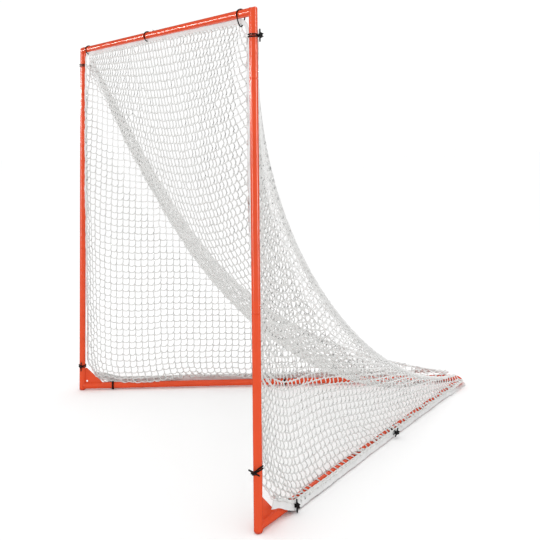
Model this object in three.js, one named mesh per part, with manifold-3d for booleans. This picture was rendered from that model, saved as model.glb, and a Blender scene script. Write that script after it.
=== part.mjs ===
// Portable field goal: a knock-down frame of round steel tube with a square mouth and a
// V-shaped base that runs back to a rear apex, a knotted net in three panels, fabric hems,
// and shock-cord ties with T-bar toggles.
//
// Units are millimetres. X runs across the mouth, Y from the mouth back to the apex, Z up.
// The posts' axes cross the floor at y = 0 while the goal is being built; the finished group
// is moved so that the middle of its bounding box sits over the origin.

import * as THREE from 'three';
import { mergeVertices } from 'three/addons/utils/BufferGeometryUtils.js';
import Module from 'manifold-3d';

const wasm = await Module();
wasm.setup();

// ---------------------------------------------------------------- driving dimensions

const MOUTH_WIDTH = 1829;          // clear width between the posts, six feet
const MOUTH_HEIGHT = 1829;         // clear height under the crossbar, six feet
const DEPTH = 1845;                // from the posts' axes to the apex's outer face
const TUBE_OD = 31.8;              // one and a quarter inch tube
const TUBE_WALL = 1.5;
const PART_GAP = 0.3;              // gap kept between pieces that touch on the real goal

const TUBE_R = TUBE_OD / 2;
const BORE_R = TUBE_R - TUBE_WALL;
const POST_X = MOUTH_WIDTH / 2 + TUBE_R;
const BAR_Z = MOUTH_HEIGHT + TUBE_R;
const TUBE_SIDES = 20;

// Knock-down joints: a reduced tube end slips into the next tube's bore.
const SLIP_R = BORE_R - PART_GAP;
const SLIP_BORE_R = SLIP_R - TUBE_WALL;
const SLIP_LENGTH = 80;
const SHOULDER = 2;                // length of the cone between full and reduced diameter
const POST_UPPER_SEAM_Z = 1600;
const POST_LOWER_SEAM_Z = 760;
const BASE_FRONT_SEAM = 330;       // distance from the post's axis along the base
const BASE_REAR_SEAM = 1180;

// Bends and feet.
const APEX_BEND_R = 45;
const BEND_STEPS = 5;
const FOOT_LIFT = 8;               // the post tube ends this far above the floor
const FOOT_EDGE = 6.5;             // rounding round the foot cap

// The base tubes' axes meet where the apex bend would come to a point.
const APEX_Y = (() => {
  let y = DEPTH;
  for (let pass = 0; pass < 8; pass += 1) {
    const halfAngle = Math.atan2(POST_X, y);
    y = DEPTH - TUBE_R + APEX_BEND_R * (1 / Math.sin(halfAngle) - 1);
  }
  return y;
})();
const BASE_LENGTH = Math.hypot(POST_X, APEX_Y);
const APEX_HALF_ANGLE = Math.atan2(POST_X, APEX_Y);
const APEX_TANGENT = APEX_BEND_R / Math.tan(APEX_HALF_ANGLE);

// Snap buttons: a headed pin on a U-shaped leaf spring inside the reduced end.
const BUTTON = {
  fromSeam: 25, r: 4, proud: 5, holeR: 4.4,
  flangeR: 5.5, flangeTop: SLIP_BORE_R - 1.6, flangeThick: 1,
};
const LEAF = { width: 8, thick: 0.8, length: 40, tail: 6, endGap: 0.4 };

// Shock-cord ties and their toggles.
const CORD_R = 2.3;
const RING_R = TUBE_R + PART_GAP + CORD_R;
const BASE_Z = RING_R + CORD_R;    // the base tubes rest on the cords tied round them
const STEM_R = 2.6;
const TOGGLE_REACH = 26;           // tube axis to toggle bar axis
const BASE_TOGGLE_REACH = 38;      // the same where the base hem lies between them
const TOGGLE = {                   // a bar with a claw that narrows to two prongs
  length: 46, r: 3.5, clawWidth: 26, tipWidth: 12, clawHeight: 14, clawThick: 5, notchR: 3.8,
};

// Net and hems.
const HEM_WIDTH = 20;
const HEM_THICK = 3;
const HEM_BELOW_BAR = 32;          // crossbar's axis to the middle of the hem
const HEM_INSIDE_POST = 40;        // a post's axis to the middle of the hem
const HEM_CORNER = 50;             // the hem rounds its corners off over this length
const HEM_CORNER_CUT = 0.35;       // share of that length at which the corner is half turned
const NET_THICK = 3;
const NET_EDGE = HEM_INSIDE_POST + HEM_WIDTH / 2 + 4;   // a post's axis to a net panel's edge
const NET_POST_END_Z = 155;        // the net leaves the post here and crosses to the base
const NET_BASE_START = 125;        // and meets the base this far from the post
const NET_BASE_OUT = 20;           // it passes outside the base tube at this distance
const NET_BASE_Z = BASE_Z + TUBE_R + 1;
const BASE_HEM = {                 // the base hem stands outside the tubes and reaches the floor
  width: 30, out: 28, z: 17, lean: 0.8, bendSteps: 8,
};
const NET_REAR_END = 330;          // the side panels leave the base this far from the apex
const RIDGE_HALF_GAP = 4;          // half the gap between two panels along a ridge
const SIDE_RIDGE_SPAN = [0.04, 0.92];   // shares of the ridge between which a side panel hangs
const BACK_RIDGE_END = 0.97;       // and where the back panel stops
const BACK_SAG = 0.05;             // sag of the back panel, as a fraction of its width
const SAG_RISE = 0.25;             // it reaches this sag over the first quarter of its length
const TIE_WINDOW_R = 30;           // opening in a side panel where a base tie comes through
const HEM_WINDOW_R = 6;            // and in the base hem

// The right ridge of the net hangs from the top corner to the apex on this cubic curve.
const RIDGE = new THREE.CubicBezierCurve3(
  new THREE.Vector3(905, 30, 1780),
  new THREE.Vector3(380, 295, 1000),
  new THREE.Vector3(670, 660, 245),
  new THREE.Vector3(34, 1745, 72),
);

const X = new THREE.Vector3(1, 0, 0);
const Y = new THREE.Vector3(0, 1, 0);
const Z = new THREE.Vector3(0, 0, 1);

const SIDES = [
  { name: 'left', sign: -1 },
  { name: 'right', sign: 1 },
];

// ---------------------------------------------------------------- small helpers

const v = (x, y, z) => new THREE.Vector3(x, y, z);

function makeMaterial(name, color, roughness, metalness = 0) {
  return new THREE.MeshStandardMaterial({ name, color, roughness, metalness });
}

const materials = {
  frame: () => makeMaterial('frame_paint', 0xe8502c, 0.45),
  cap: () => makeMaterial('foot_plastic', 0xe8502c, 0.6),
  button: () => makeMaterial('button_steel', 0xc8ccd0, 0.25, 1),
  spring: () => makeMaterial('spring_steel', 0x9aa0a6, 0.35, 1),
  cord: () => makeMaterial('shock_cord', 0x141414, 0.9),
  toggle: () => makeMaterial('toggle_plastic', 0x1b1b1c, 0.5),
  net: () => makeMaterial('net_twine', 0xeeeeec, 0.9),
  hem: () => makeMaterial('hem_tape', 0xf2f2f0, 0.9),
};

function addPiece(group, name, geometry, material) {
  const mesh = new THREE.Mesh(geometry, material);
  mesh.name = name;
  group.add(mesh);
  return mesh;
}

// Direction of a base tube, from its post to the apex, and the horizontal direction out of
// the goal at right angles to it.
function baseFrame(sign) {
  const along = v(-sign * POST_X, APEX_Y, 0).normalize();
  const outward = v(sign * along.y, sign * -along.x, 0).normalize();
  const at = (distance) => v(sign * POST_X, 0, BASE_Z).addScaledVector(along, distance);
  return { along, outward, at };
}

// ---------------------------------------------------------------- solids

function toManifold(geometry) {
  const bare = geometry.clone();
  bare.deleteAttribute('normal');
  bare.deleteAttribute('uv');
  const merged = mergeVertices(bare, 1e-4);
  return new wasm.Manifold(new wasm.Mesh({
    numProp: 3,
    vertProperties: Float32Array.from(merged.attributes.position.array),
    triVerts: Uint32Array.from(merged.index.array),
  }));
}

function toGeometry(solid) {
  const mesh = solid.getMesh();
  const geometry = new THREE.BufferGeometry();
  geometry.setAttribute('position', new THREE.BufferAttribute(mesh.vertProperties, 3));
  geometry.setIndex(new THREE.BufferAttribute(mesh.triVerts, 1));
  geometry.computeVertexNormals();
  return geometry;
}

function join(...geometries) {
  return toGeometry(geometries.map(toManifold).reduce((sum, part) => sum.add(part)));
}

function cut(geometry, ...tools) {
  const cutters = tools.map(toManifold);
  return toGeometry(cutters.reduce((rest, tool) => rest.subtract(tool), toManifold(geometry)));
}

function overlap(first, second) {
  return toGeometry(toManifold(first).intersect(toManifold(second)));
}

// Turns a shape built along +Z so that +Z points along `axis`, and moves it to `origin`.
function place(geometry, origin, axis, across = null) {
  const zAxis = axis.clone().normalize();
  const helper = across ? across.clone() : (Math.abs(zAxis.z) > 0.9 ? X.clone() : Z.clone());
  const xAxis = helper.addScaledVector(zAxis, -helper.dot(zAxis)).normalize();
  const yAxis = zAxis.clone().cross(xAxis);
  const matrix = new THREE.Matrix4().makeBasis(xAxis, yAxis, zAxis).setPosition(origin);
  return geometry.applyMatrix4(matrix);
}

function rod(radius, from, to, sides = 16) {
  const length = from.distanceTo(to);
  const geometry = new THREE.CylinderGeometry(radius, radius, length, sides);
  geometry.rotateX(Math.PI / 2);
  const middle = from.clone().add(to).multiplyScalar(0.5);
  return place(geometry, middle, to.clone().sub(from));
}

// A hollow tube through a list of stations that lie in one plane. Each station gives a
// point, the direction of travel, and the outer and inner radius there.
function hollowTube(stations, planeNormal) {
  const positions = [];
  stations.forEach(({ at, along, outer, inner }) => {
    const side = along.clone().cross(planeNormal);
    [outer, inner].forEach((radius) => {
      for (let k = 0; k < TUBE_SIDES; k += 1) {
        const angle = (2 * Math.PI * k) / TUBE_SIDES;
        const point = at.clone()
          .addScaledVector(planeNormal, radius * Math.cos(angle))
          .addScaledVector(side, radius * Math.sin(angle));
        positions.push(point.x, point.y, point.z);
      }
    });
  });
  const ring = (station, isInner) => (station * 2 + isInner) * TUBE_SIDES;
  const index = [];
  const band = (a, b) => {
    for (let k = 0; k < TUBE_SIDES; k += 1) {
      const next = (k + 1) % TUBE_SIDES;
      index.push(a + k, a + next, b + next, a + k, b + next, b + k);
    }
  };
  for (let s = 0; s + 1 < stations.length; s += 1) {
    band(ring(s, 0), ring(s + 1, 0));
    band(ring(s + 1, 1), ring(s, 1));
  }
  const last = stations.length - 1;
  band(ring(0, 1), ring(0, 0));
  band(ring(last, 0), ring(last, 1));
  return solidFrom(positions, index);
}

function solidFrom(positions, index) {
  const geometry = new THREE.BufferGeometry();
  geometry.setAttribute('position', new THREE.Float32BufferAttribute(positions, 3));
  geometry.setIndex(index);
  geometry.computeVertexNormals();
  return geometry;
}

const full = (at, along) => ({ at, along, outer: TUBE_R, inner: BORE_R });
const slipped = (at, along) => ({ at, along, outer: SLIP_R, inner: SLIP_BORE_R });

// Stations for a reduced end that sticks out past `seam` in the direction of travel.
function slipEnd(seam, along) {
  const neck = seam.clone().addScaledVector(along, -PART_GAP);
  const shoulder = neck.clone().addScaledVector(along, -SHOULDER);
  const tip = seam.clone().addScaledVector(along, SLIP_LENGTH);
  return [full(shoulder, along), slipped(neck, along), slipped(tip, along)];
}

// The same end when the tube starts with it and travels away from the seam.
function slipStart(seam, along) {
  return slipEnd(seam, along.clone().negate())
    .reverse()
    .map((station) => ({ ...station, along: along.clone() }));
}

function bendStations(centre, startDirection, endDirection, radius, planeNormal) {
  const turn = startDirection.angleTo(endDirection);
  const toStart = startDirection.clone().cross(planeNormal).normalize();
  return Array.from({ length: BEND_STEPS - 1 }, (_, i) => {
    const angle = (turn * (i + 1)) / BEND_STEPS;
    const along = startDirection.clone().applyAxisAngle(planeNormal, angle);
    const arm = toStart.clone().applyAxisAngle(planeNormal, angle);
    return full(centre.clone().addScaledVector(arm, radius), along);
  });
}

// A closed slab of even thickness over a grid of points: rows[i][j].
function slab(rows, thickness) {
  const rowCount = rows.length;
  const columnCount = rows[0].length;
  const clampRow = (i) => Math.min(Math.max(i, 0), rowCount - 1);
  const clampColumn = (j) => Math.min(Math.max(j, 0), columnCount - 1);
  const normalAt = (i, j) => {
    const down = rows[clampRow(i + 1)][j].clone().sub(rows[clampRow(i - 1)][j]);
    const across = rows[i][clampColumn(j + 1)].clone().sub(rows[i][clampColumn(j - 1)]);
    return down.cross(across).normalize();
  };
  const positions = [];
  [1, -1].forEach((face) => {
    for (let i = 0; i < rowCount; i += 1) {
      for (let j = 0; j < columnCount; j += 1) {
        const point = rows[i][j].clone().addScaledVector(normalAt(i, j), (face * thickness) / 2);
        positions.push(point.x, point.y, point.z);
      }
    }
  });
  const under = rowCount * columnCount;
  const id = (i, j) => i * columnCount + j;
  const index = [];
  const quad = (a, b, c, d) => index.push(a, b, c, a, c, d);
  for (let i = 0; i + 1 < rowCount; i += 1) {
    for (let j = 0; j + 1 < columnCount; j += 1) {
      quad(id(i, j), id(i + 1, j), id(i + 1, j + 1), id(i, j + 1));
      quad(under + id(i, j), under + id(i, j + 1), under + id(i + 1, j + 1), under + id(i + 1, j));
    }
  }
  const border = [];
  for (let i = 0; i + 1 < rowCount; i += 1) border.push(id(i, 0));
  for (let j = 0; j + 1 < columnCount; j += 1) border.push(id(rowCount - 1, j));
  for (let i = rowCount - 1; i > 0; i -= 1) border.push(id(i, columnCount - 1));
  for (let j = columnCount - 1; j > 0; j -= 1) border.push(id(0, j));
  border.forEach((a, k) => {
    const b = border[(k + 1) % border.length];
    quad(a, under + a, under + b, b);
  });
  return solidFrom(positions, index);
}

// A lathe profile given as [radius, height] pairs, turned about +Z.
function turned(profile, sides) {
  const points = profile.map(([radius, height]) => new THREE.Vector2(radius, height));
  const geometry = new THREE.LatheGeometry(points, sides);
  geometry.rotateX(Math.PI / 2);
  return geometry;
}

// ---------------------------------------------------------------- knock-down joints

// Every slip joint of the frame. `seam` is where the outer tube ends, `into` points from the
// seam into the outer tube, and `press` points out of the tube through the button.
function slipJoints() {
  const joints = [{
    name: 'crossbar', seam: v(0, 0, BAR_Z), into: X.clone(), press: Z.clone(),
  }];
  SIDES.forEach(({ name, sign }) => {
    const base = baseFrame(sign);
    joints.push(
      {
        name: `${name}_post_upper`,
        seam: v(sign * POST_X, 0, POST_UPPER_SEAM_Z),
        into: Z.clone(),
        press: Y.clone(),
      },
      {
        name: `${name}_post_lower`,
        seam: v(sign * POST_X, 0, POST_LOWER_SEAM_Z),
        into: Z.clone(),
        press: Y.clone(),
      },
      {
        name: `${name}_base_front`,
        seam: base.at(BASE_FRONT_SEAM),
        into: base.along.clone().negate(),
        press: Z.clone(),
      },
      {
        name: `${name}_base_rear`,
        seam: base.at(BASE_REAR_SEAM),
        into: base.along.clone().negate(),
        press: Z.clone(),
      },
    );
  });
  return joints;
}

function buttonAxisPoint(joint) {
  return joint.seam.clone().addScaledVector(joint.into, BUTTON.fromSeam);
}

// Drill bit for a joint's button hole, through one wall of both tubes.
function buttonDrill(joint) {
  const axisPoint = buttonAxisPoint(joint);
  const start = axisPoint.clone().addScaledVector(joint.press, SLIP_BORE_R - 3);
  const end = axisPoint.clone().addScaledVector(joint.press, TUBE_R + 2);
  return rod(BUTTON.holeR, start, end, 12);
}

// The button and the spring leg riveted under it; they travel together when pressed.
function snapButton(joint) {
  const top = TUBE_R + BUTTON.proud;
  const flangeBottom = BUTTON.flangeTop - BUTTON.flangeThick;
  const pin = turned([
    [0, flangeBottom], [BUTTON.flangeR, flangeBottom], [BUTTON.flangeR, BUTTON.flangeTop],
    [BUTTON.r, BUTTON.flangeTop], [BUTTON.r, top - 2], [BUTTON.r * 0.75, top - 0.6], [0, top],
  ], 12);
  const legLength = LEAF.length + LEAF.tail - LEAF.endGap;
  const leg = new THREE.BoxGeometry(legLength, LEAF.width, LEAF.thick);
  leg.translate(legLength / 2 - LEAF.tail, 0, flangeBottom - LEAF.thick / 2 + 0.1);
  const away = joint.into.clone().negate();
  return place(join(pin, leg), buttonAxisPoint(joint), joint.press, away);
}

// The rest of the leaf: the bend and the leg that bears on the far wall.
function snapSpring(joint) {
  const legTop = BUTTON.flangeTop - BUTTON.flangeThick + 0.1;
  const seat = -(SLIP_BORE_R - 1.2);
  const middle = (legTop + seat) / 2;
  const outerR = (legTop - seat) / 2;
  const shape = new THREE.Shape();
  shape.moveTo(-LEAF.tail, seat);
  shape.lineTo(LEAF.length, seat);
  shape.absarc(LEAF.length, middle, outerR, -Math.PI / 2, Math.PI / 2, false);
  shape.lineTo(LEAF.length, legTop - LEAF.thick);
  shape.absarc(LEAF.length, middle, outerR - LEAF.thick, Math.PI / 2, -Math.PI / 2, true);
  shape.lineTo(-LEAF.tail, seat + LEAF.thick);
  shape.closePath();
  const geometry = new THREE.ExtrudeGeometry(shape, {
    depth: LEAF.width, bevelEnabled: false, curveSegments: 8,
  });
  // Shape X runs along the tube and shape Y towards the button; the extrusion runs across.
  geometry.translate(0, 0, -LEAF.width / 2);
  geometry.rotateX(Math.PI / 2);
  return place(geometry, buttonAxisPoint(joint), joint.press, joint.into.clone().negate());
}

function addSnapJoints(group, joints) {
  joints.forEach((joint) => {
    addPiece(group, `${joint.name}_snap_button`, snapButton(joint), materials.button());
    addPiece(group, `${joint.name}_snap_spring`, snapSpring(joint), materials.spring());
  });
}

// ---------------------------------------------------------------- frame

// Half the crossbar, butt-welded to the side of the post's top. The post is closed above by
// a cap that carries on the crossbar's round back.
function cornerSection(side, drills) {
  const { sign } = side;
  const outward = X.clone().multiplyScalar(sign);
  const middle = v(0, 0, BAR_Z);
  const corner = v(sign * POST_X, 0, BAR_Z);
  const upright = (radius, from, to) => (
    rod(radius, v(sign * POST_X, 0, from), v(sign * POST_X, 0, to), TUBE_SIDES)
  );
  const start = sign < 0 ? slipStart(middle, outward) : [full(middle, outward)];
  const bar = hollowTube([...start, full(corner, outward)], Y);
  const cope = upright((TUBE_R + BORE_R) / 2, BAR_Z - TUBE_OD, BAR_Z + TUBE_OD);
  const back = rod(
    TUBE_R,
    corner.clone().addScaledVector(outward, -TUBE_OD),
    corner.clone().addScaledVector(outward, TUBE_OD),
    TUBE_SIDES,
  );
  const cap = overlap(upright(TUBE_R, BAR_Z, BAR_Z + TUBE_OD), back);
  const post = cut(
    join(upright(TUBE_R, POST_UPPER_SEAM_Z, BAR_Z), cap),
    upright(BORE_R, POST_UPPER_SEAM_Z - 1, BAR_Z),
  );
  return cut(join(cut(bar, cope), post), ...drills);
}

function middlePost(side, drills) {
  const lower = v(side.sign * POST_X, 0, POST_LOWER_SEAM_Z);
  const upper = v(side.sign * POST_X, 0, POST_UPPER_SEAM_Z);
  return cut(hollowTube([full(lower, Z), ...slipEnd(upper, Z)], Y), ...drills);
}

function lowerPost(side, drills) {
  const foot = v(side.sign * POST_X, 0, FOOT_LIFT);
  const upper = v(side.sign * POST_X, 0, POST_LOWER_SEAM_Z);
  return cut(hollowTube([full(foot, Z), ...slipEnd(upper, Z)], Y), ...drills);
}

// The base stub is coped round the post it is welded to.
function baseStub(side, drills) {
  const base = baseFrame(side.sign);
  const stations = [
    full(base.at(TUBE_R * 0.5), base.along),
    full(base.at(BASE_FRONT_SEAM), base.along),
  ];
  const post = rod(
    TUBE_R + PART_GAP,
    v(side.sign * POST_X, 0, -TUBE_OD),
    v(side.sign * POST_X, 0, 2 * TUBE_OD),
    TUBE_SIDES * 2,
  );
  return cut(hollowTube(stations, Z), post, ...drills);
}

function baseMiddle(side, drills) {
  const base = baseFrame(side.sign);
  const stations = [
    ...slipStart(base.at(BASE_FRONT_SEAM), base.along),
    full(base.at(BASE_REAR_SEAM), base.along),
  ];
  return cut(hollowTube(stations, Z), ...drills);
}

// The V-bent tube at the rear; both ends slip into the middle base tubes.
function apexSection(drills) {
  const left = baseFrame(-1);
  const right = baseFrame(1);
  const bendStart = left.at(BASE_LENGTH - APEX_TANGENT);
  const bendEnd = right.at(BASE_LENGTH - APEX_TANGENT);
  const returning = right.along.clone().negate();
  const planeNormal = Z.clone().negate();
  const centre = v(0, DEPTH - TUBE_R - APEX_BEND_R, BASE_Z);
  const stations = [
    ...slipStart(left.at(BASE_REAR_SEAM), left.along),
    full(bendStart, left.along),
    ...bendStations(centre, left.along, returning, APEX_BEND_R, planeNormal),
    full(bendEnd, returning),
    ...slipEnd(right.at(BASE_REAR_SEAM), returning),
  ];
  return cut(hollowTube(stations, planeNormal), ...drills);
}

// Triangular plate in the corner between post and base, with a drain hole at its root.
function gusset(side) {
  const { along } = baseFrame(side.sign);
  const reach = 92;
  const rise = 78;
  const nose = 8;
  const thick = 4;
  const drainR = 5;
  const drainIn = 9;
  const clear = TUBE_R + PART_GAP;
  const shape = new THREE.Shape();
  shape.moveTo(clear, clear);
  shape.lineTo(clear + reach, clear);
  shape.lineTo(clear + nose, clear + rise);
  shape.lineTo(clear, clear + rise);
  shape.closePath();
  const drain = new THREE.Path();
  drain.absarc(clear + drainIn, clear + drainIn, drainR, 0, 2 * Math.PI, true);
  shape.holes.push(drain);
  const geometry = new THREE.ExtrudeGeometry(shape, {
    depth: thick, bevelEnabled: false, curveSegments: 8,
  });
  geometry.translate(0, 0, -thick / 2);
  const thickness = along.clone().cross(Z);
  const matrix = new THREE.Matrix4()
    .makeBasis(along, Z, thickness)
    .setPosition(v(side.sign * POST_X, 0, BASE_Z));
  return geometry.applyMatrix4(matrix);
}

// A plug with a domed flange that the post stands on.
function footCap(side) {
  const plugR = BORE_R - PART_GAP;
  const plugTop = FOOT_LIFT + 20;
  const lead = 1.5;
  const profile = [
    [0, 0], [TUBE_R - FOOT_EDGE, 0], [TUBE_R - FOOT_EDGE * 0.3, FOOT_EDGE * 0.3],
    [TUBE_R, FOOT_EDGE], [TUBE_R, FOOT_LIFT - PART_GAP], [plugR, FOOT_LIFT - PART_GAP],
    [plugR, plugTop - lead], [plugR - lead, plugTop], [0, plugTop],
  ];
  return turned(profile, TUBE_SIDES).translate(side.sign * POST_X, 0, 0);
}

function addFrame(group, joints) {
  const drillsFor = (...names) => joints
    .filter((joint) => names.includes(joint.name))
    .map(buttonDrill);
  SIDES.forEach((side) => {
    const { name } = side;
    const upper = `${name}_post_upper`;
    const lower = `${name}_post_lower`;
    const front = `${name}_base_front`;
    const rear = `${name}_base_rear`;
    const frame = (piece, geometry) => {
      addPiece(group, `${name}_${piece}`, geometry, materials.frame());
    };
    frame('corner_section', cornerSection(side, drillsFor('crossbar', upper)));
    frame('middle_post', middlePost(side, drillsFor(upper, lower)));
    frame('lower_post', lowerPost(side, drillsFor(lower)));
    frame('base_stub', baseStub(side, drillsFor(front)));
    frame('base_middle', baseMiddle(side, drillsFor(front, rear)));
    frame('gusset', gusset(side));
    addPiece(group, `${name}_foot_cap`, footCap(side), materials.cap());
  });
  const rearDrills = drillsFor('left_base_rear', 'right_base_rear');
  addPiece(group, 'apex_section', apexSection(rearDrills), materials.frame());
}

// ---------------------------------------------------------------- ties

// Every tie: a point on the tube's axis, the tube's direction, the direction in which the
// toggle stands off the tube, and how far the toggle is turned about that direction.
const TIE_X = { left: -840, middle: -35, right: 840 };
const BASE_TIE_REAR = 1100;        // distance from the post along the base
const BASE_TIE_LIFT = 0.15;        // rise of a base toggle's direction for each unit outwards

function ties() {
  const barTie = (name) => ({
    name: `crossbar_${name}_tie`,
    at: v(TIE_X[name], 0, BAR_Z),
    tube: X.clone(),
    out: v(0, 0.9, 0.43).normalize(),
    turn: 0,
    reach: TOGGLE_REACH,
  });
  const postTie = (name, sign, z, out, turn) => ({
    name,
    at: v(sign * POST_X, 0, z),
    tube: Z.clone(),
    out: out.normalize(),
    turn,
    reach: TOGGLE_REACH,
  });
  const baseTie = (name, sign, distance, turn) => {
    const base = baseFrame(sign);
    return {
      name,
      at: base.at(distance),
      tube: base.along.clone(),
      out: base.outward.clone().addScaledVector(Z, BASE_TIE_LIFT).normalize(),
      turn,
      reach: BASE_TOGGLE_REACH,
      throughNet: true,
    };
  };
  return [
    barTie('left'),
    barTie('middle'),
    barTie('right'),
    postTie('left_post_top_tie', -1, 1762, v(-0.82, 0.57, 0), 0),
    postTie('right_post_top_tie', 1, 1756, v(0.82, 0.57, 0), 0),
    postTie('left_post_foot_tie', -1, 128, v(0.8, -0.6, 0), 0),
    postTie('right_post_foot_tie', 1, 208, v(0.5, -0.87, 0), 75),
    baseTie('left_base_front_tie', -1, 165, 0),
    baseTie('right_base_front_tie', 1, 205, 80),
    baseTie('left_base_rear_tie', -1, BASE_TIE_REAR, 0),
    baseTie('right_base_rear_tie', 1, BASE_TIE_REAR, 35),
  ];
}

function tieCord(tie) {
  const ring = place(new THREE.TorusGeometry(RING_R, CORD_R, 6, 18), tie.at, tie.tube);
  const stem = rod(
    STEM_R,
    tie.at.clone().addScaledVector(tie.out, RING_R),
    tie.at.clone().addScaledVector(tie.out, tie.reach - TOGGLE.r - PART_GAP),
    8,
  );
  return join(ring, stem);
}

// A round-ended bar with a claw on its outer side that narrows to two prongs.
function toggle(tie) {
  const half = TOGGLE.length / 2;
  const end = [[TOGGLE.r, 3], [TOGGLE.r * 0.7, 1], [0, 0]];   // radius, and how far from the tip
  const bar = turned([
    ...end.map(([radius, inset]) => [radius, inset - half]).reverse(),
    ...end.map(([radius, inset]) => [radius, half - inset]),
  ], 10);
  const shape = new THREE.Shape();
  shape.moveTo(-TOGGLE.clawWidth / 2, 1);
  shape.lineTo(TOGGLE.clawWidth / 2, 1);
  shape.lineTo(TOGGLE.tipWidth / 2, TOGGLE.clawHeight);
  shape.lineTo(TOGGLE.notchR, TOGGLE.clawHeight);
  shape.absarc(0, TOGGLE.clawHeight, TOGGLE.notchR, 0, Math.PI, true);
  shape.lineTo(-TOGGLE.tipWidth / 2, TOGGLE.clawHeight);
  shape.closePath();
  const claw = new THREE.ExtrudeGeometry(shape, {
    depth: TOGGLE.clawThick, bevelEnabled: false, curveSegments: 6,
  });
  claw.translate(0, 0, -TOGGLE.clawThick / 2);
  // Shape X lies along the bar and shape Y points outwards from the tube.
  const clawToBar = new THREE.Matrix4().makeBasis(Z, X, Y);
  const solid = join(bar, claw.applyMatrix4(clawToBar));
  const centre = tie.at.clone().addScaledVector(tie.out, tie.reach);
  const barAxis = tie.tube.clone().applyAxisAngle(tie.out, THREE.MathUtils.degToRad(tie.turn));
  return place(solid, centre, barAxis, tie.out);
}

function addTies(group) {
  ties().forEach((tie) => {
    addPiece(group, `${tie.name}_cord`, tieCord(tie), materials.cord());
    addPiece(group, `${tie.name}_toggle`, toggle(tie), materials.toggle());
  });
}

// ---------------------------------------------------------------- hems and net

// A flat tape through stations that each give a middle point and the direction across it.
function tape(stations, width) {
  const rows = stations.map(({ middle, across }) => [-1, 1].map((edge) => (
    middle.clone().addScaledVector(across, (edge * width) / 2)
  )));
  return slab(rows, HEM_THICK);
}

// Up inside one post, across under the crossbar and down inside the other post.
function mouthHem() {
  const top = BAR_Z - HEM_BELOW_BAR;
  const inside = POST_X - HEM_INSIDE_POST;
  const cornerIn = HEM_CORNER * HEM_CORNER_CUT;
  const under = Z.clone().negate();
  const half = (sign) => {
    const inward = X.clone().multiplyScalar(-sign);
    const slant = inward.clone().add(under).normalize();
    return [
      { middle: v(sign * inside, 0, NET_POST_END_Z), across: inward },
      { middle: v(sign * inside, 0, top - HEM_CORNER), across: inward },
      { middle: v(sign * (inside - cornerIn), 0, top - cornerIn), across: slant },
      { middle: v(sign * (inside - HEM_CORNER), 0, top), across: under },
    ];
  };
  return tape([...half(-1), ...half(1).reverse()], HEM_WIDTH);
}

// Outside both base tubes and round the apex bend, leaning on them and reaching the floor.
function baseHem(allTies) {
  const leaning = (outward) => outward.clone().multiplyScalar(1 - BASE_HEM.lean)
    .addScaledVector(Z, -BASE_HEM.lean)
    .normalize();
  const outside = (sign, distance) => {
    const base = baseFrame(sign);
    const middle = base.at(distance).addScaledVector(base.outward, BASE_HEM.out);
    middle.z = BASE_HEM.z;
    return { middle, across: leaning(base.outward) };
  };
  const bendCentre = v(0, DEPTH - TUBE_R - APEX_BEND_R, BASE_HEM.z);
  const halfTurn = Math.PI / 2 - APEX_HALF_ANGLE;
  const roundApex = Array.from({ length: BASE_HEM.bendSteps + 1 }, (_, i) => {
    const angle = halfTurn * ((2 * i) / BASE_HEM.bendSteps - 1);
    const outward = v(Math.sin(angle), Math.cos(angle), 0);
    const middle = bendCentre.clone().addScaledVector(outward, APEX_BEND_R + BASE_HEM.out);
    return { middle, across: leaning(outward) };
  });
  const stations = [outside(-1, NET_BASE_START), ...roundApex, outside(1, NET_BASE_START)];
  return cut(tape(stations, BASE_HEM.width), ...tieWindows(allTies, HEM_WINDOW_R));
}

// Cylinders that open the net or hem where the base ties come through.
function tieWindows(allTies, radius) {
  return allTies.filter((tie) => tie.throughNet).map((tie) => rod(
    radius,
    tie.at.clone().addScaledVector(tie.out, RING_R * 0.3),
    tie.at.clone().addScaledVector(tie.out, tie.reach * 2),
    16,
  ));
}

// Outer boundary of a side panel: down the post, then back along the base.
function sideBoundary(side) {
  const base = baseFrame(side.sign);
  const postRows = 6;
  const baseRows = 9;
  const top = BAR_Z - HEM_BELOW_BAR - HEM_CORNER - HEM_WIDTH;
  const last = BASE_LENGTH - NET_REAR_END;
  const points = [];
  for (let i = 0; i <= postRows; i += 1) {
    const z = top + ((NET_POST_END_Z - top) * i) / postRows;
    points.push(v(side.sign * (POST_X - NET_EDGE), 0, z));
  }
  for (let i = 0; i <= baseRows; i += 1) {
    const distance = NET_BASE_START + ((last - NET_BASE_START) * i) / baseRows;
    const point = base.at(distance).addScaledVector(base.outward, NET_BASE_OUT);
    point.z = NET_BASE_Z;
    points.push(point);
  }
  return points;
}

function ridgePoint(sign, fraction, shift) {
  const point = RIDGE.getPointAt(fraction);
  return v(sign * (point.x + shift), point.y, point.z);
}

function sidePanel(side, allTies) {
  const columns = 6;
  const boundary = sideBoundary(side);
  const rows = boundary.map((edge, i) => {
    const [first, last] = SIDE_RIDGE_SPAN;
    const fraction = first + ((last - first) * i) / (boundary.length - 1);
    const ridge = ridgePoint(side.sign, fraction, RIDGE_HALF_GAP);
    return Array.from({ length: columns + 1 }, (_, j) => edge.clone().lerp(ridge, j / columns));
  });
  const ownTies = allTies.filter((tie) => Math.sign(tie.at.x) === side.sign);
  const outwardRows = side.sign > 0 ? rows : rows.map((row) => row.slice().reverse());
  return cut(slab(outwardRows, NET_THICK), ...tieWindows(ownTies, TIE_WINDOW_R));
}

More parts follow.
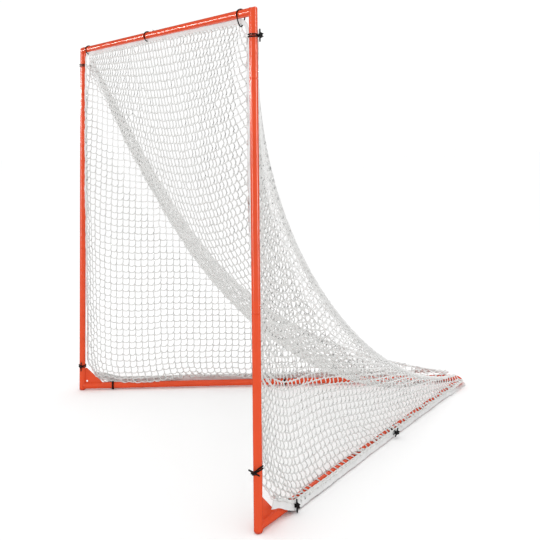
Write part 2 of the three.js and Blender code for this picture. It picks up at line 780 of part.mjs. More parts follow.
// Hangs from the crossbar between the two ridges and narrows to the apex.
function backPanel() {
  const rowCount = 14;
  const columns = 8;
  const rows = Array.from({ length: rowCount + 1 }, (_, i) => {
    const fraction = (BACK_RIDGE_END * i) / rowCount;
    const left = ridgePoint(-1, fraction, -RIDGE_HALF_GAP);
    const right = ridgePoint(1, fraction, -RIDGE_HALF_GAP);
    const width = left.distanceTo(right);
    const sagShare = Math.sin((Math.PI * Math.min(fraction / SAG_RISE, 1)) / 2);
    return Array.from({ length: columns + 1 }, (_, j) => {
      const across = j / columns;
      const point = left.clone().lerp(right, across);
      point.z -= BACK_SAG * width * sagShare * 4 * across * (1 - across);
      return point;
    });
  });
  return slab(rows, NET_THICK);
}

function addNet(group) {
  const allTies = ties();
  SIDES.forEach((side) => {
    addPiece(group, `${side.name}_side_net`, sidePanel(side, allTies), materials.net());
  });
  addPiece(group, 'back_net', backPanel(), materials.net());
  addPiece(group, 'mouth_hem', mouthHem(), materials.hem());
  addPiece(group, 'base_hem', baseHem(allTies), materials.hem());
}

// ---------------------------------------------------------------- assembly

function buildGoal() {
  const goal = new THREE.Group();
  const joints = slipJoints();
  addFrame(goal, joints);
  addSnapJoints(goal, joints);
  addTies(goal);
  addNet(goal);
  const box = new THREE.Box3().setFromObject(goal);
  const middle = box.getCenter(new THREE.Vector3());
  goal.children.forEach((mesh) => mesh.geometry.translate(-middle.x, -middle.y, -box.min.z));
  return goal;
}

export default buildGoal();
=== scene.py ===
"""Looks of the portable field goal: painted tube frame, knotted net, hems, cord ties and toggles.

Metres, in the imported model's frame: X across the mouth, Y from the mouth back to the apex, Z up.
"""
import math

import bmesh
import bpy
import numpy as np
from mathutils import Matrix, Vector


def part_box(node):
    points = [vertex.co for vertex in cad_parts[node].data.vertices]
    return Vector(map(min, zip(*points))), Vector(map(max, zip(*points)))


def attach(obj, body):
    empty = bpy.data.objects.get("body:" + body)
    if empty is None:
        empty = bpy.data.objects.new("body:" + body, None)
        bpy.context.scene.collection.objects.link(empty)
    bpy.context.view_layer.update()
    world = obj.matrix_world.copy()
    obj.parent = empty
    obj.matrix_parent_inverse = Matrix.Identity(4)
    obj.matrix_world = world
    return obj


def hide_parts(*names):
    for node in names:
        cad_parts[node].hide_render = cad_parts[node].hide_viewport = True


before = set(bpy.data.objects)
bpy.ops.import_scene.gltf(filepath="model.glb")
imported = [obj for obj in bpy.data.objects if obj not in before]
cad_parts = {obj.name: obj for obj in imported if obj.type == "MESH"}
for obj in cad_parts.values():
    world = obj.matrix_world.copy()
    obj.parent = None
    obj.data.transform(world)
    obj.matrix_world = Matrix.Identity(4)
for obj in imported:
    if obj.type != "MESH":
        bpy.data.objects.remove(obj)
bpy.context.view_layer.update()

# ---------------------------------------------------------------- sizes read from the frame


def middle_of(node):
    lo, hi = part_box(node)
    return (lo + hi) / 2


MM = 0.001
UP = Vector((0, 0, 1))
ACROSS = Vector((1, 0, 0))
BACK = Vector((0, 1, 0))
SIDES = (("left", -1), ("right", 1))

post_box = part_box("right_middle_post")
TUBE_R = (post_box[1].x - post_box[0].x) / 2
POST_X = middle_of("right_middle_post").x
POST_Y = middle_of("right_middle_post").y
BAR_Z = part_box("right_corner_section")[1].z - TUBE_R
BASE_Z = middle_of("right_base_middle").z
APEX_TIP_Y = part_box("apex_section")[1].y
UPPER_SEAM_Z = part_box("right_corner_section")[0].z
LOWER_SEAM_Z = post_box[0].z
FOOT_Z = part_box("right_lower_post")[0].z

# Sizes that the tubes share with the CAD source.
TUBE_WALL = 1.5 * MM
PART_GAP = 0.3 * MM
SLIP_R = TUBE_R - TUBE_WALL - PART_GAP
SLIP_LENGTH = 80 * MM
SHOULDER = 2 * MM
BASE_FRONT_SEAM = 330 * MM
BASE_REAR_SEAM = 1180 * MM
APEX_BEND_R = 45 * MM
GUSSET = {"reach": 92 * MM, "rise": 78 * MM, "thick": 4 * MM}

# Where the two base tubes' lines would cross behind the posts, if the apex weren't rounded.
APEX_RUN = APEX_TIP_Y - POST_Y
for _ in range(8):
    half_angle = math.atan2(POST_X, APEX_RUN)
    APEX_RUN = APEX_TIP_Y - POST_Y - TUBE_R + APEX_BEND_R * (1 / math.sin(half_angle) - 1)
BASE_LENGTH = math.hypot(POST_X, APEX_RUN)

# Ties.
CORD_R = 2.5 * MM
RING_R = TUBE_R + PART_GAP + CORD_R
TOGGLE_REACH = 26 * MM
BASE_TOGGLE_REACH = 38 * MM         # where the base hem lies between the tube and the toggle
BASE_TIE_LIFT = 0.15

# Net and hems.
STRAND = 38 * MM                    # length of twine between knots
CELL = 33 * MM                      # the knots' spacing as the net hangs
TWINE_R = 2.6 * MM
KNOT_R = 4.0 * MM
HEM_WIDTH = 20 * MM
HEM_THICK = 2.2 * MM
HEM_INSIDE_POST = 40 * MM           # a post's axis to the middle of the mouth hem
HEM_CORNER = 50 * MM
HEM_END_Z = 155 * MM                # the mouth hem leaves the post here
BASE_HEM_WIDTH = 33 * MM
BASE_HEM_START = 62 * MM            # distance from the post along the base
BASE_HEM_REAR_END = 330 * MM        # distance from the apex where it turns over the tube
# Right ridge of the net: x, distance behind the posts, height. The left one mirrors it.
RIDGE = np.array([
    (0.905, 0.030, 1.780),
    (0.380, 0.295, 1.000),
    (0.670, 0.660, 0.245),
    (0.024, 1.795, 0.056),
])

random_draw = np.random.default_rng(7)


def on_post(sign, z=0.0):
    return Vector((sign * POST_X, POST_Y, z))


class Base:
    """The line of one base tube, from its post to the apex."""

    def __init__(self, sign):
        self.sign = sign
        self.along = Vector((-sign * POST_X, APEX_RUN, 0)).normalized()
        self.outward = Vector((sign * self.along.y, -sign * self.along.x, 0))

    def at(self, distance, out=0.0, z=BASE_Z):
        return on_post(self.sign, z) + self.along * distance + self.outward * out


BASES = {sign: Base(sign) for _, sign in SIDES}

# ---------------------------------------------------------------- camera, light and floor

CAMERA_PLACE = Vector((3.5998, POST_Y - 1.5748, 1.4428))
CAMERA_TURN = math.radians(61.16)     # to the left of straight back
CAMERA_DIP = math.radians(-3.59)
CAMERA_ROLL = math.radians(-0.47)
CAMERA_LENS = 56.90
CAMERA_SHIFT = (0.0770, -0.3736)


def make_camera():
    camera = bpy.data.objects.new("camera", bpy.data.cameras.new("camera"))
    bpy.context.scene.collection.objects.link(camera)
    camera.data.sensor_width = 36
    camera.data.lens = CAMERA_LENS
    camera.data.shift_x, camera.data.shift_y = CAMERA_SHIFT
    look = Vector((
        -math.sin(CAMERA_TURN) * math.cos(CAMERA_DIP),
        math.cos(CAMERA_TURN) * math.cos(CAMERA_DIP),
        -math.sin(CAMERA_DIP),
    ))
    camera.location = CAMERA_PLACE
    level = look.to_track_quat("-Z", "Y").to_matrix()
    camera.rotation_euler = (level @ Matrix.Rotation(CAMERA_ROLL, 3, "Z")).to_euler()
    bpy.context.scene.camera = camera


def softbox(name, place, aim, width, height, power, mirrored=True, lights=True):
    """A rectangular lamp that glossy surfaces mirror, matt ones are lit by, or both."""
    light = bpy.data.lights.new(name, "AREA")
    light.shape = "RECTANGLE"
    light.size, light.size_y = width, height
    light.energy = power
    lamp = bpy.data.objects.new(name, light)
    bpy.context.scene.collection.objects.link(lamp)
    lamp.location = place
    lamp.visible_glossy = mirrored
    lamp.visible_diffuse = lights
    lamp.rotation_euler = (Vector(aim) - Vector(place)).to_track_quat("-Z", "Y").to_euler()


def make_studio():
    world = bpy.data.worlds.new("studio")
    bpy.context.scene.world = world
    world.use_nodes = True
    world.node_tree.nodes["Background"].inputs["Color"].default_value = (1, 1, 1, 1)
    world.node_tree.nodes["Background"].inputs["Strength"].default_value = 1.03
    softbox("overhead", (0.5, -1.5, 6.0), (0, 0, 0.8), 5.0, 5.0, 45, mirrored=False)
    softbox("strip_right", (5.0, 2.6, 1.6), (0.9, -0.9, 1.0), 0.5, 3.6, 200, lights=False)
    softbox("strip_left", (0.2, -6.2, 1.6), (0.9, -0.9, 1.0), 0.5, 3.6, 150, lights=False)
    softbox("strip_bar", (-7.0, -3.8, 1.8), (-7.0, -0.9, 1.8), 12.0, 0.3, 300, lights=False)
    dark_walls()
    bpy.context.scene.view_settings.view_transform = "Standard"
    half = 30.0
    corners = [(-half, -half, 0), (half, -half, 0), (half, half, 0), (-half, half, 0)]
    floor = mesh_object("floor", corners, [(0, 1, 2, 3)], floor_material())
    floor.location.z = -0.5 * MM
    floor.visible_glossy = False


def dark_walls():
    """A dark room round the studio: the glossy paint mirrors it, and nothing else meets it."""
    radius, height, sides = 14.0, 9.0, 48
    low = ring_points(Vector((0, 0, -0.2)), ACROSS, BACK, radius, sides)
    high = [p + UP * height for p in low]
    material = Look("studio_wall", (0.06, 0.06, 0.06), 1.0).material
    faces = skin([low, high], False) + [tuple(range(sides)), tuple(range(sides, 2 * sides))]
    walls = mesh_object("studio_walls", low + high, faces, material, smooth=False)
    walls.visible_camera = False
    walls.visible_diffuse = False
    walls.visible_shadow = False
    walls.visible_transmission = False


# ---------------------------------------------------------------- mesh helpers


def mesh_object(name, points, faces, material, smooth=True):
    mesh = bpy.data.meshes.new(name)
    mesh.from_pydata([tuple(p) for p in points], [], [tuple(int(i) for i in f) for f in faces])
    return finish_object(name, mesh, material, smooth)


def finish_object(name, mesh, material, smooth=True):
    mesh.update()
    mesh.validate()
    mesh.materials.append(material)
    mesh.polygons.foreach_set("use_smooth", [smooth] * len(mesh.polygons))
    piece = bpy.data.objects.new(name, mesh)
    bpy.context.scene.collection.objects.link(piece)
    return piece


def sharp_at(piece, degrees=35):
    """Shades smooth, except over edges that turn more than this."""
    mesh = bmesh.new()
    mesh.from_mesh(piece.data)
    for edge in mesh.edges:
        if len(edge.link_faces) == 2 and edge.calc_face_angle() > math.radians(degrees):
            edge.smooth = False
    mesh.to_mesh(piece.data)
    mesh.free()
    return piece


def add_part(name, piece, body, slot, *nodes):
    """A finished piece: rides on its body and stands for its CAD nodes, which it hides. The slot is not
    used.
    """
    piece.name = name
    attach(piece, body)
    if nodes:
        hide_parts(*nodes)
    return piece


def apply_modifiers(piece):
    depsgraph = bpy.context.evaluated_depsgraph_get()
    mesh = bpy.data.meshes.new_from_object(piece.evaluated_get(depsgraph))
    piece.modifiers.clear()
    piece.data = mesh
    return piece


def carve(piece, *cutters):
    for cutter in cutters:
        modifier = piece.modifiers.new("carve", "BOOLEAN")
        modifier.operation = "DIFFERENCE"
        modifier.solver = "EXACT"
        modifier.object = cutter
    bpy.context.view_layer.update()
    apply_modifiers(piece)
    for cutter in cutters:
        bpy.data.objects.remove(cutter)
    return piece


def ring_points(centre, first, second, radius, sides):
    return [
        centre + first * (radius * math.cos(2 * math.pi * k / sides))
        + second * (radius * math.sin(2 * math.pi * k / sides))
        for k in range(sides)
    ]


def skin(rings, closed):
    """Quads between rings of equal point count; the ends stay open unless the run is closed."""
    sides = len(rings[0])
    faces = []
    count = len(rings)
    for r in range(count if closed else count - 1):
        a, b = r * sides, ((r + 1) % count) * sides
        faces += [(a + k, a + (k + 1) % sides, b + (k + 1) % sides, b + k) for k in range(sides)]
    return faces


def capped_skin(loops):
    """Points and faces of a skin over the loops, closed flat at both ends."""
    sides = len(loops[0])
    points = [p for loop in loops for p in loop]
    ends = [tuple(range(sides - 1, -1, -1)), tuple(range(len(points) - sides, len(points)))]
    return points, skin(loops, False) + ends


def prism(name, outline, shift, material, smooth=True):
    """The solid that a flat outline sweeps out as it moves by the shift."""
    points, faces = capped_skin([outline, [p + shift for p in outline]])
    piece = mesh_object(name, points, faces, material, smooth)
    recalculate(piece)
    return piece


def rope(name, path, radius, material, sides=10, closed=False):
    """Round cord along a path; radius is one value or one for each point. Ends are rounded."""
    path = [Vector(p) for p in path]
    count = len(path)
    radii = list(radius) if hasattr(radius, "__len__") else [radius] * count
    tangents = []
    for i in range(count):
        before = path[(i - 1) % count] if closed or i > 0 else path[i]
        after = path[(i + 1) % count] if closed or i < count - 1 else path[i]
        tangents.append((after - before).normalized())
    first = tangents[0].orthogonal().normalized()
    rings = []
    for i in range(count):
        first = (first - tangents[i] * first.dot(tangents[i])).normalized()
        rings.append((path[i], tangents[i], first.copy(), radii[i]))
    if not closed:
        rings = rounded_end(rings[0], -1) + rings + rounded_end(rings[-1], 1)
    loops = [ring_points(p, f, t.cross(f), r, sides) for p, t, f, r in rings]
    points, faces = capped_skin(loops)
    if closed:
        faces = skin(loops, True)
    return mesh_object(name, points, faces, material)


def rounded_end(ring, way):
    point, tangent, first, radius = ring
    steps = [
        (point + tangent * (way * radius * math.sin(a)), tangent, first, radius * math.cos(a))
        for a in (0.5, 1.0, 1.4)
    ]
    return steps if way > 0 else steps[::-1]


def turned(name, profile, origin, axis, material, sides=40):
    """A profile of (radius, height) pairs turned about an axis; the profile starts and ends on it."""
    axis = Vector(axis).normalized()
    first = axis.orthogonal().normalized()
    second = axis.cross(first)
    inner = profile[1:-1]
    loops = [ring_points(Vector(origin) + axis * h, first, second, r, sides) for r, h in inner]
    points = [p for loop in loops for p in loop]
    faces = skin(loops, False)
    bottom = len(points)
    points += [Vector(origin) + axis * profile[0][1], Vector(origin) + axis * profile[-1][1]]
    last = (len(inner) - 1) * sides
    faces += [(bottom, (k + 1) % sides, k) for k in range(sides)]
    faces += [(bottom + 1, last + k, last + (k + 1) % sides) for k in range(sides)]
    return mesh_object(name, points, faces, material)


# ---------------------------------------------------------------- materials


class Look:
    """A Principled material and the nodes that vary it."""

    def __init__(self, name, colour, roughness, metallic=0.0, **inputs):
        self.material = bpy.data.materials.new(name)
        self.material.use_nodes = True
        self.tree = self.material.node_tree
        self.shader = self.tree.nodes["Principled BSDF"].inputs
        self.shader["Base Color"].default_value = (*colour, 1)
        self.shader["Roughness"].default_value = roughness
        self.shader["Metallic"].default_value = metallic
        for label, value in inputs.items():
            self.shader[label.replace("_", " ")].default_value = value

    def node(self, kind, **settings):
        node = self.tree.nodes.new(kind)
        for label, value in settings.items():
            if label in node.inputs:
                node.inputs[label].default_value = value
            else:
                setattr(node, label, value)
        return node

    def texture(self, kind, output, stretch=(1, 1, 1), **settings):
        """A texture in the object's own coordinates."""
        place = self.node("ShaderNodeTexCoord")
        mapping = self.node("ShaderNodeMapping", Scale=stretch)
        texture = self.node(kind, **settings)
        self.tree.links.new(place.outputs["Object"], mapping.inputs["Vector"])
        self.tree.links.new(mapping.outputs["Vector"], texture.inputs["Vector"])
        return texture.outputs[output]

    def noise(self, scale, detail, stretch=(1, 1, 1)):
        return self.texture("ShaderNodeTexNoise", "Fac", stretch, Scale=scale, Detail=detail)

    def tint(self, factor, low, high):
        """Base colour that runs from low to high with the factor."""
        ramp = self.node("ShaderNodeValToRGB")
        for stop, place, colour in zip(ramp.color_ramp.elements, (0.3, 0.7), (low, high)):
            stop.position = place
            stop.color = (*colour, 1)
        self.tree.links.new(factor, ramp.inputs["Fac"])
        self.tree.links.new(ramp.outputs["Color"], self.shader["Base Color"])

    def roughen(self, factor, low, high):
        """Roughness that runs from low to high with the factor."""
        spread = self.node("ShaderNodeMapRange", **{"To Min": low, "To Max": high})
        self.tree.links.new(factor, spread.inputs["Value"])
        self.tree.links.new(spread.outputs["Result"], self.shader["Roughness"])

    def bump(self, height, distance, strength):
        relief = self.node("ShaderNodeBump", Strength=strength, Distance=distance)
        self.tree.links.new(height, relief.inputs["Height"])
        self.tree.links.new(relief.outputs["Normal"], self.shader["Normal"])


def shade(colour, share):
    return tuple(c * share for c in colour)


def paint_material(colour=(0.84, 0.088, 0.026)):
    """Powder coat: orange peel, a slightly uneven gloss and a little depth in the colour."""
    look = Look("frame_paint", colour, 0.3, Specular_IOR_Level=0.5)
    look.tint(look.noise(9, 4), shade(colour, 0.9), colour)
    look.roughen(look.noise(60, 3), 0.17, 0.25)
    look.bump(look.noise(900, 2), 0.03 * MM, 0.4)
    return look.material


def cap_material():
    look = Look("foot_plastic", (0.75, 0.07, 0.02), 0.5)
    look.tint(look.noise(40, 4), (0.62, 0.055, 0.016), (0.75, 0.07, 0.02))
    look.bump(look.noise(1400, 2), 0.06 * MM, 0.5)
    return look.material


def steel_material(name, colour, roughness):
    """Zinc-plated steel with fine drawing marks."""
    look = Look(name, colour, roughness, metallic=1.0)
    marks = look.noise(300, 4, (1, 1, 12))
    look.roughen(marks, roughness * 0.8, roughness * 1.5)
    look.bump(marks, 0.02 * MM, 0.5)
    return look.material


def cord_material():
    """Black braided shock cord: the braid's crossing carriers stand proud of each other."""
    look = Look("shock_cord", (0.005, 0.005, 0.005), 0.8, Specular_IOR_Level=0.25)
    braid = look.texture("ShaderNodeTexVoronoi", "Distance", Scale=850.0)
    look.tint(braid, (0.008, 0.008, 0.008), (0.003, 0.003, 0.003))
    look.bump(braid, 0.4 * MM, 0.7)
    return look.material


def toggle_material():
    look = Look("toggle_plastic", (0.006, 0.006, 0.0065), 0.42, Specular_IOR_Level=0.35)
    look.roughen(look.noise(90, 3), 0.34, 0.52)
    look.bump(look.noise(1500, 2), 0.05 * MM, 0.6)
    return look.material


def twine_material(name, colour):
    """Off-white braided twine, a little darker where it has picked up dirt."""
    look = Look(name, colour, 0.85, Sheen_Weight=0.15)
    look.tint(look.noise(14, 5), shade(colour, 0.95), colour)
    look.bump(look.noise(1100, 3), 0.5 * MM, 0.8)
    return look.material


def tape_material(colour=(0.80, 0.80, 0.795)):
    """Woven polyester tape: crossed ribs, one set for each thread direction."""
    look = Look("hem_tape", colour, 0.8, Sheen_Weight=0.2)
    weave = look.node("ShaderNodeMath", operation="MULTIPLY")
    for socket, way in zip(weave.inputs, ("X", "Z")):
        rib = {"Scale": 260.0, "Distortion": 0.6, "bands_direction": way}
        look.tree.links.new(look.texture("ShaderNodeTexWave", "Fac", **rib), socket)
    look.tint(look.noise(18, 5), shade(colour, 0.93), colour)
    look.bump(weave.outputs[0], 0.25 * MM, 0.6)
    return look.material


def floor_material():
    return Look("floor", (0.975, 0.975, 0.975), 1.0, Specular_IOR_Level=0.0).material


PAINT = paint_material()
CAP = cap_material()
BUTTON_STEEL = steel_material("button_steel", (0.72, 0.73, 0.74), 0.28)
SPRING_STEEL = steel_material("spring_steel", (0.5, 0.52, 0.55), 0.35)
CORD = cord_material()
TOGGLE_PLASTIC = toggle_material()
TWINE = twine_material("net_twine", (0.75, 0.75, 0.735))
# A lighter copy of the same twine for the netting bunched along the ridges: painted light that offsets
# the shade the bunch casts on itself.
PAINTED_LIGHT_BUNCHED_TWINE = twine_material("net_twine_bunched_painted_light", (0.87, 0.87, 0.86))
TAPE = tape_material()

# ---------------------------------------------------------------- frame tubes

TUBE_SIDES = 48
END_ROUND = 0.5 * MM                # the cut ends are brushed round by this much


def full(point, along):
    return point, along, TUBE_R, TUBE_R - TUBE_WALL


def cut_end(seam, away):
    """Stations of a plain cut end at a seam; away points into this tube."""
    rounded = (seam, away, TUBE_R - END_ROUND, TUBE_R - TUBE_WALL)
    return [rounded, full(seam + away * END_ROUND, away)]


def slip_end(seam, along):
    """Stations of a reduced end that sticks out past the seam in the direction of travel."""
    neck = seam - along * PART_GAP
    tip = seam + along * SLIP_LENGTH
    slim = (SLIP_R, SLIP_R - TUBE_WALL)
    halfway = TUBE_R - SHOULDER * 0.6
    return [
        full(neck - along * SHOULDER, along),
        (neck - along * (SHOULDER * 0.35), along, halfway, halfway - TUBE_WALL),
        (neck, along, *slim),
        (tip - along * END_ROUND, along, *slim),
        (tip, along, SLIP_R - END_ROUND, SLIP_R - TUBE_WALL),
    ]


def turned_round(stations):
    """The same stations, travelled the other way."""
    return [(p, -along, outer, inner) for p, along, outer, inner in stations[::-1]]


def bend(centre, start, end, radius, steps=14):
    """Stations round a bend between two directions of travel, at its ends too."""
    turn = start.angle(end)
    axis = start.cross(end).normalized()
    arm = axis.cross(start).normalized() * -radius
    stations = []
    for k in range(steps + 1):
        turned_by = Matrix.Rotation(turn * k / steps, 3, axis)
        stations.append(full(centre + turned_by @ arm, turned_by @ start))
    return stations


def hollow_tube(name, stations, plane_normal):
    """A tube with a real bore through stations that lie in one plane."""
    outer, inner = [], []
    for point, along, outer_r, inner_r in stations:
        side = plane_normal.cross(along).normalized()
        outer.append(ring_points(point, plane_normal, side, outer_r, TUBE_SIDES))
        inner.append(ring_points(point, plane_normal, side, inner_r, TUBE_SIDES))
    loops = outer + inner[::-1]
    points = [p for loop in loops for p in loop]
    piece = mesh_object(name, points, skin(loops, True), PAINT)
    recalculate(piece)
    return piece


def recalculate(piece):
    """Turns every face outwards."""
    mesh = bmesh.new()
    mesh.from_mesh(piece.data)
    bmesh.ops.recalc_face_normals(mesh, faces=mesh.faces)
    mesh.to_mesh(piece.data)
    mesh.free()


def rod_cutter(start, end, radius, sides=28):
    start, end = Vector(start), Vector(end)
    length = (end - start).length
    profile = [(0, 0), (radius, 0), (radius, length), (0, length)]
    piece = turned("cutter", profile, start, end - start, PAINT, sides)
    recalculate(piece)
    return piece


def slip_joints():
    """Every slip joint: where the outer tube ends, the way into it, and the way the button faces."""
    joints = {"crossbar": (Vector((0, POST_Y, BAR_Z)), ACROSS, UP)}
    for side, sign in SIDES:
        base = BASES[sign]
        joints[f"{side}_post_upper"] = (on_post(sign, UPPER_SEAM_Z), UP, BACK)
        joints[f"{side}_post_lower"] = (on_post(sign, LOWER_SEAM_Z), UP, BACK)
        joints[f"{side}_base_front"] = (base.at(BASE_FRONT_SEAM), -base.along, UP)
        joints[f"{side}_base_rear"] = (base.at(BASE_REAR_SEAM), -base.along, UP)
    return joints


JOINTS = slip_joints()
BUTTON_FROM_SEAM = 25 * MM
BUTTON_R = 4 * MM
BUTTON_PROUD = 5 * MM
BUTTON_HOLE_R = 4.4 * MM
BUTTON_FLANGE_R = 5.5 * MM
BUTTON_DOME = 2 * MM
SPRING_LEG = {"width": 8 * MM, "thick": 0.8 * MM, "before": 6 * MM, "after": 39.6 * MM}


def button_holes(*names):
    cutters = []
    for name in names:
        seam, into, press = JOINTS[name]
        axis_point = seam + into * BUTTON_FROM_SEAM
        start = axis_point + press * (SLIP_R - 6 * MM)
        cutters.append(rod_cutter(start, axis_point + press * (TUBE_R + 3 * MM), BUTTON_HOLE_R))
    return cutters


def add_tube(node, stations, plane_normal, *holes):
    piece = hollow_tube(node, stations, plane_normal)
    carve(piece, *holes)
    sharp_at(piece)
    return add_part(node + "_tube", piece, "goal", "frame_paint", node)


def add_corner_section(side, sign):
    """Half the crossbar and the top of the post, which the crossbar is butt-welded to."""
    node = f"{side}_corner_section"
    outward = ACROSS * sign
    middle = Vector((0, POST_Y, BAR_Z))
    post = on_post(sign)
    start = turned_round(slip_end(middle, -outward)) if sign < 0 else cut_end(middle, outward)
    end = full(post + UP * BAR_Z, outward)
    ends = (on_post(sign, BAR_Z + rise) for rise in (-50 * MM, 50 * MM))
    cope = rod_cutter(*ends, TUBE_R - TUBE_WALL / 2, 64)
    bar = hollow_tube("bar", [*start, end], BACK)
    carve(bar, cope, *button_holes("crossbar"))
    sharp_at(bar)
    add_part(f"{side}_half_crossbar", bar, "goal", "frame_paint", node)
    top = BAR_Z + TUBE_R + 4 * MM
    bore = TUBE_R - TUBE_WALL
    profile = [
        (0, BAR_Z), (bore, BAR_Z), (bore, UPPER_SEAM_Z), (TUBE_R - END_ROUND, UPPER_SEAM_Z),
        (TUBE_R, UPPER_SEAM_Z + END_ROUND), (TUBE_R, top), (0, top),
    ]
    upper_post = turned("post", profile, post, UP, PAINT, TUBE_SIDES)
    recalculate(upper_post)
    carve(upper_post, top_cutter(post), *button_holes(f"{side}_post_upper"))
    sharp_at(upper_post)
    add_part(f"{side}_upper_post", upper_post, "goal", "frame_paint", node)
    seam = coped_seam(end[0], -outward, BACK, TUBE_R * 1.005)
    weld_bead(f"{side}_corner_weld", seam, WELD_R["corner"], closed=True)


def top_cutter(post):
    """Takes off the post everything above the crossbar's round back."""
    outline = [(math.cos(a) * TUBE_R, BAR_Z + math.sin(a) * TUBE_R) for a in np.linspace(0, math.pi, 33)]
    high = BAR_Z + 2 * TUBE_R
    wide = TUBE_R * 1.5
    outline = [(wide, BAR_Z), *outline, (-wide, BAR_Z), (-wide, high), (wide, high)]
    near_side = [post - ACROSS * wide + BACK * y + UP * z for y, z in outline]
    return prism("cutter", near_side, ACROSS * (2 * wide), PAINT)


def add_posts(side, sign):
    foot, lower, upper = (on_post(sign, z) for z in (FOOT_Z, LOWER_SEAM_Z, UPPER_SEAM_Z))
    holes = button_holes(f"{side}_post_upper", f"{side}_post_lower")
    add_tube(f"{side}_middle_post", [*cut_end(lower, UP), *slip_end(upper, UP)], BACK, *holes)
    hole = button_holes(f"{side}_post_lower")
    add_tube(f"{side}_lower_post", [*cut_end(foot, UP), *slip_end(lower, UP)], BACK, *hole)


def add_base_tubes(side, sign):
    base = BASES[sign]
    front = base.at(BASE_FRONT_SEAM)
    rear = base.at(BASE_REAR_SEAM)
    post = on_post(sign)
    stub = [full(base.at(TUBE_R * 0.5), base.along), *turned_round(cut_end(front, -base.along))]
    cope = rod_cutter(post - UP * TUBE_R * 2, post + UP * TUBE_R * 5, TUBE_R + PART_GAP, 64)
    add_tube(f"{side}_base_stub", stub, UP, cope, *button_holes(f"{side}_base_front"))
    stations = [
        *turned_round(slip_end(front, -base.along)),
        *turned_round(cut_end(rear, -base.along)),
    ]
    holes = button_holes(f"{side}_base_front", f"{side}_base_rear")
    add_tube(f"{side}_base_middle", stations, UP, *holes)


def add_apex_section():
    left, right = BASES[-1], BASES[1]
    centre = Vector((0, APEX_TIP_Y - TUBE_R - APEX_BEND_R, BASE_Z))
    stations = [
        *turned_round(slip_end(left.at(BASE_REAR_SEAM), -left.along)),
        *bend(centre, left.along, -right.along, APEX_BEND_R, 24),
        *slip_end(right.at(BASE_REAR_SEAM), -right.along),
    ]
    add_tube("apex_section", stations, UP, *button_holes("left_base_rear", "right_base_rear"))


WELD_R = {"corner": 1.3 * MM, "base": 1.7 * MM, "gusset": 1.5 * MM}
WELD_RIPPLE = 2.2 * MM              # length of a weld between two points of its path


def weld_bead(name, path, radius, closed=False):
    """A weld: a rippled bead laid along the path."""
    count = len(path)
    radii = [radius * (1 + 0.16 * math.sin(k * 1.9) + 0.05 * math.sin(k * 0.61)) for k in range(count)]
    bead = rope(name, path, radii, PAINT, 8, closed)
    return add_part(name, bead, "goal", "frame_paint")


def coped_seam(start, along, across, radius):
    """The closed line where a coped tube, with its axis from the post's axis, meets the post."""
    seam = []
    for angle in np.linspace(0, 2 * math.pi, 96, endpoint=False):
        distance = TUBE_R * math.sqrt(math.sin(angle) ** 2 + 0.004) + PART_GAP
        side_step = across * (radius * math.cos(angle))
        seam.append(start + along * distance + side_step + UP * (radius * math.sin(angle)))
    return seam


def line_points(start, end):
    steps = max(2, int((end - start).length / WELD_RIPPLE))
    return [start.lerp(end, k / steps) for k in range(steps + 1)]


def add_welds(side, sign):
    """Round the coped end of the base stub, and along both edges of the gusset."""
    base = BASES[sign]
    seam = coped_seam(base.at(0), base.along, base.outward, TUBE_R * 1.01)
    weld_bead(f"{side}_base_weld", seam, WELD_R["base"], closed=True)
    clear = TUBE_R + PART_GAP
    for face, out in (("inner", -1), ("outer", 1)):
        offset = out * (GUSSET["thick"] / 2 + 0.8 * MM)
        top = base.at(clear, offset, BASE_Z + clear + GUSSET["rise"] - 2 * MM)
        root = base.at(clear, offset, BASE_Z + clear + 1 * MM)
        toe = base.at(clear + GUSSET["reach"] - 2 * MM, offset, BASE_Z + clear)
        path = line_points(top, root) + line_points(root, toe)[1:]
        weld_bead(f"{side}_gusset_weld_{face}", path, WELD_R["gusset"])


def bevel(piece, width, segments, degrees):
    """Breaks the edges that turn more than this."""
    modifier = piece.modifiers.new("edges", "BEVEL")
    modifier.width = width
    modifier.segments = segments
    modifier.limit_method = "ANGLE"
    modifier.angle_limit = math.radians(degrees)


def bevel_node(node, width, material):
    """Keeps a CAD node and breaks its sharp edges."""
    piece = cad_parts[node]
    piece.data.materials.clear()
    piece.data.materials.append(material)
    bevel(piece, width, 2, 40)


def add_foot_cap(side, sign):
    """A plug with a domed flange that the post stands on."""
    top = FOOT_Z + 20 * MM
    edge = 6.5 * MM
    rounding = [
        (TUBE_R - edge + edge * math.sin(a), edge - edge * math.cos(a))
        for a in np.linspace(0, math.pi / 2, 8)
    ]
    profile = [
        (0, 0), *rounding, (TUBE_R, FOOT_Z - PART_GAP), (SLIP_R, FOOT_Z - PART_GAP),
        (SLIP_R, top - 2 * MM), (SLIP_R - 1.5 * MM, top), (0, top),
    ]
    cap = turned("cap", profile, on_post(sign), UP, CAP, TUBE_SIDES)
    sharp_at(cap)
    add_part(f"{side}_foot_plug", cap, "goal", "foot_plastic", f"{side}_foot_cap")


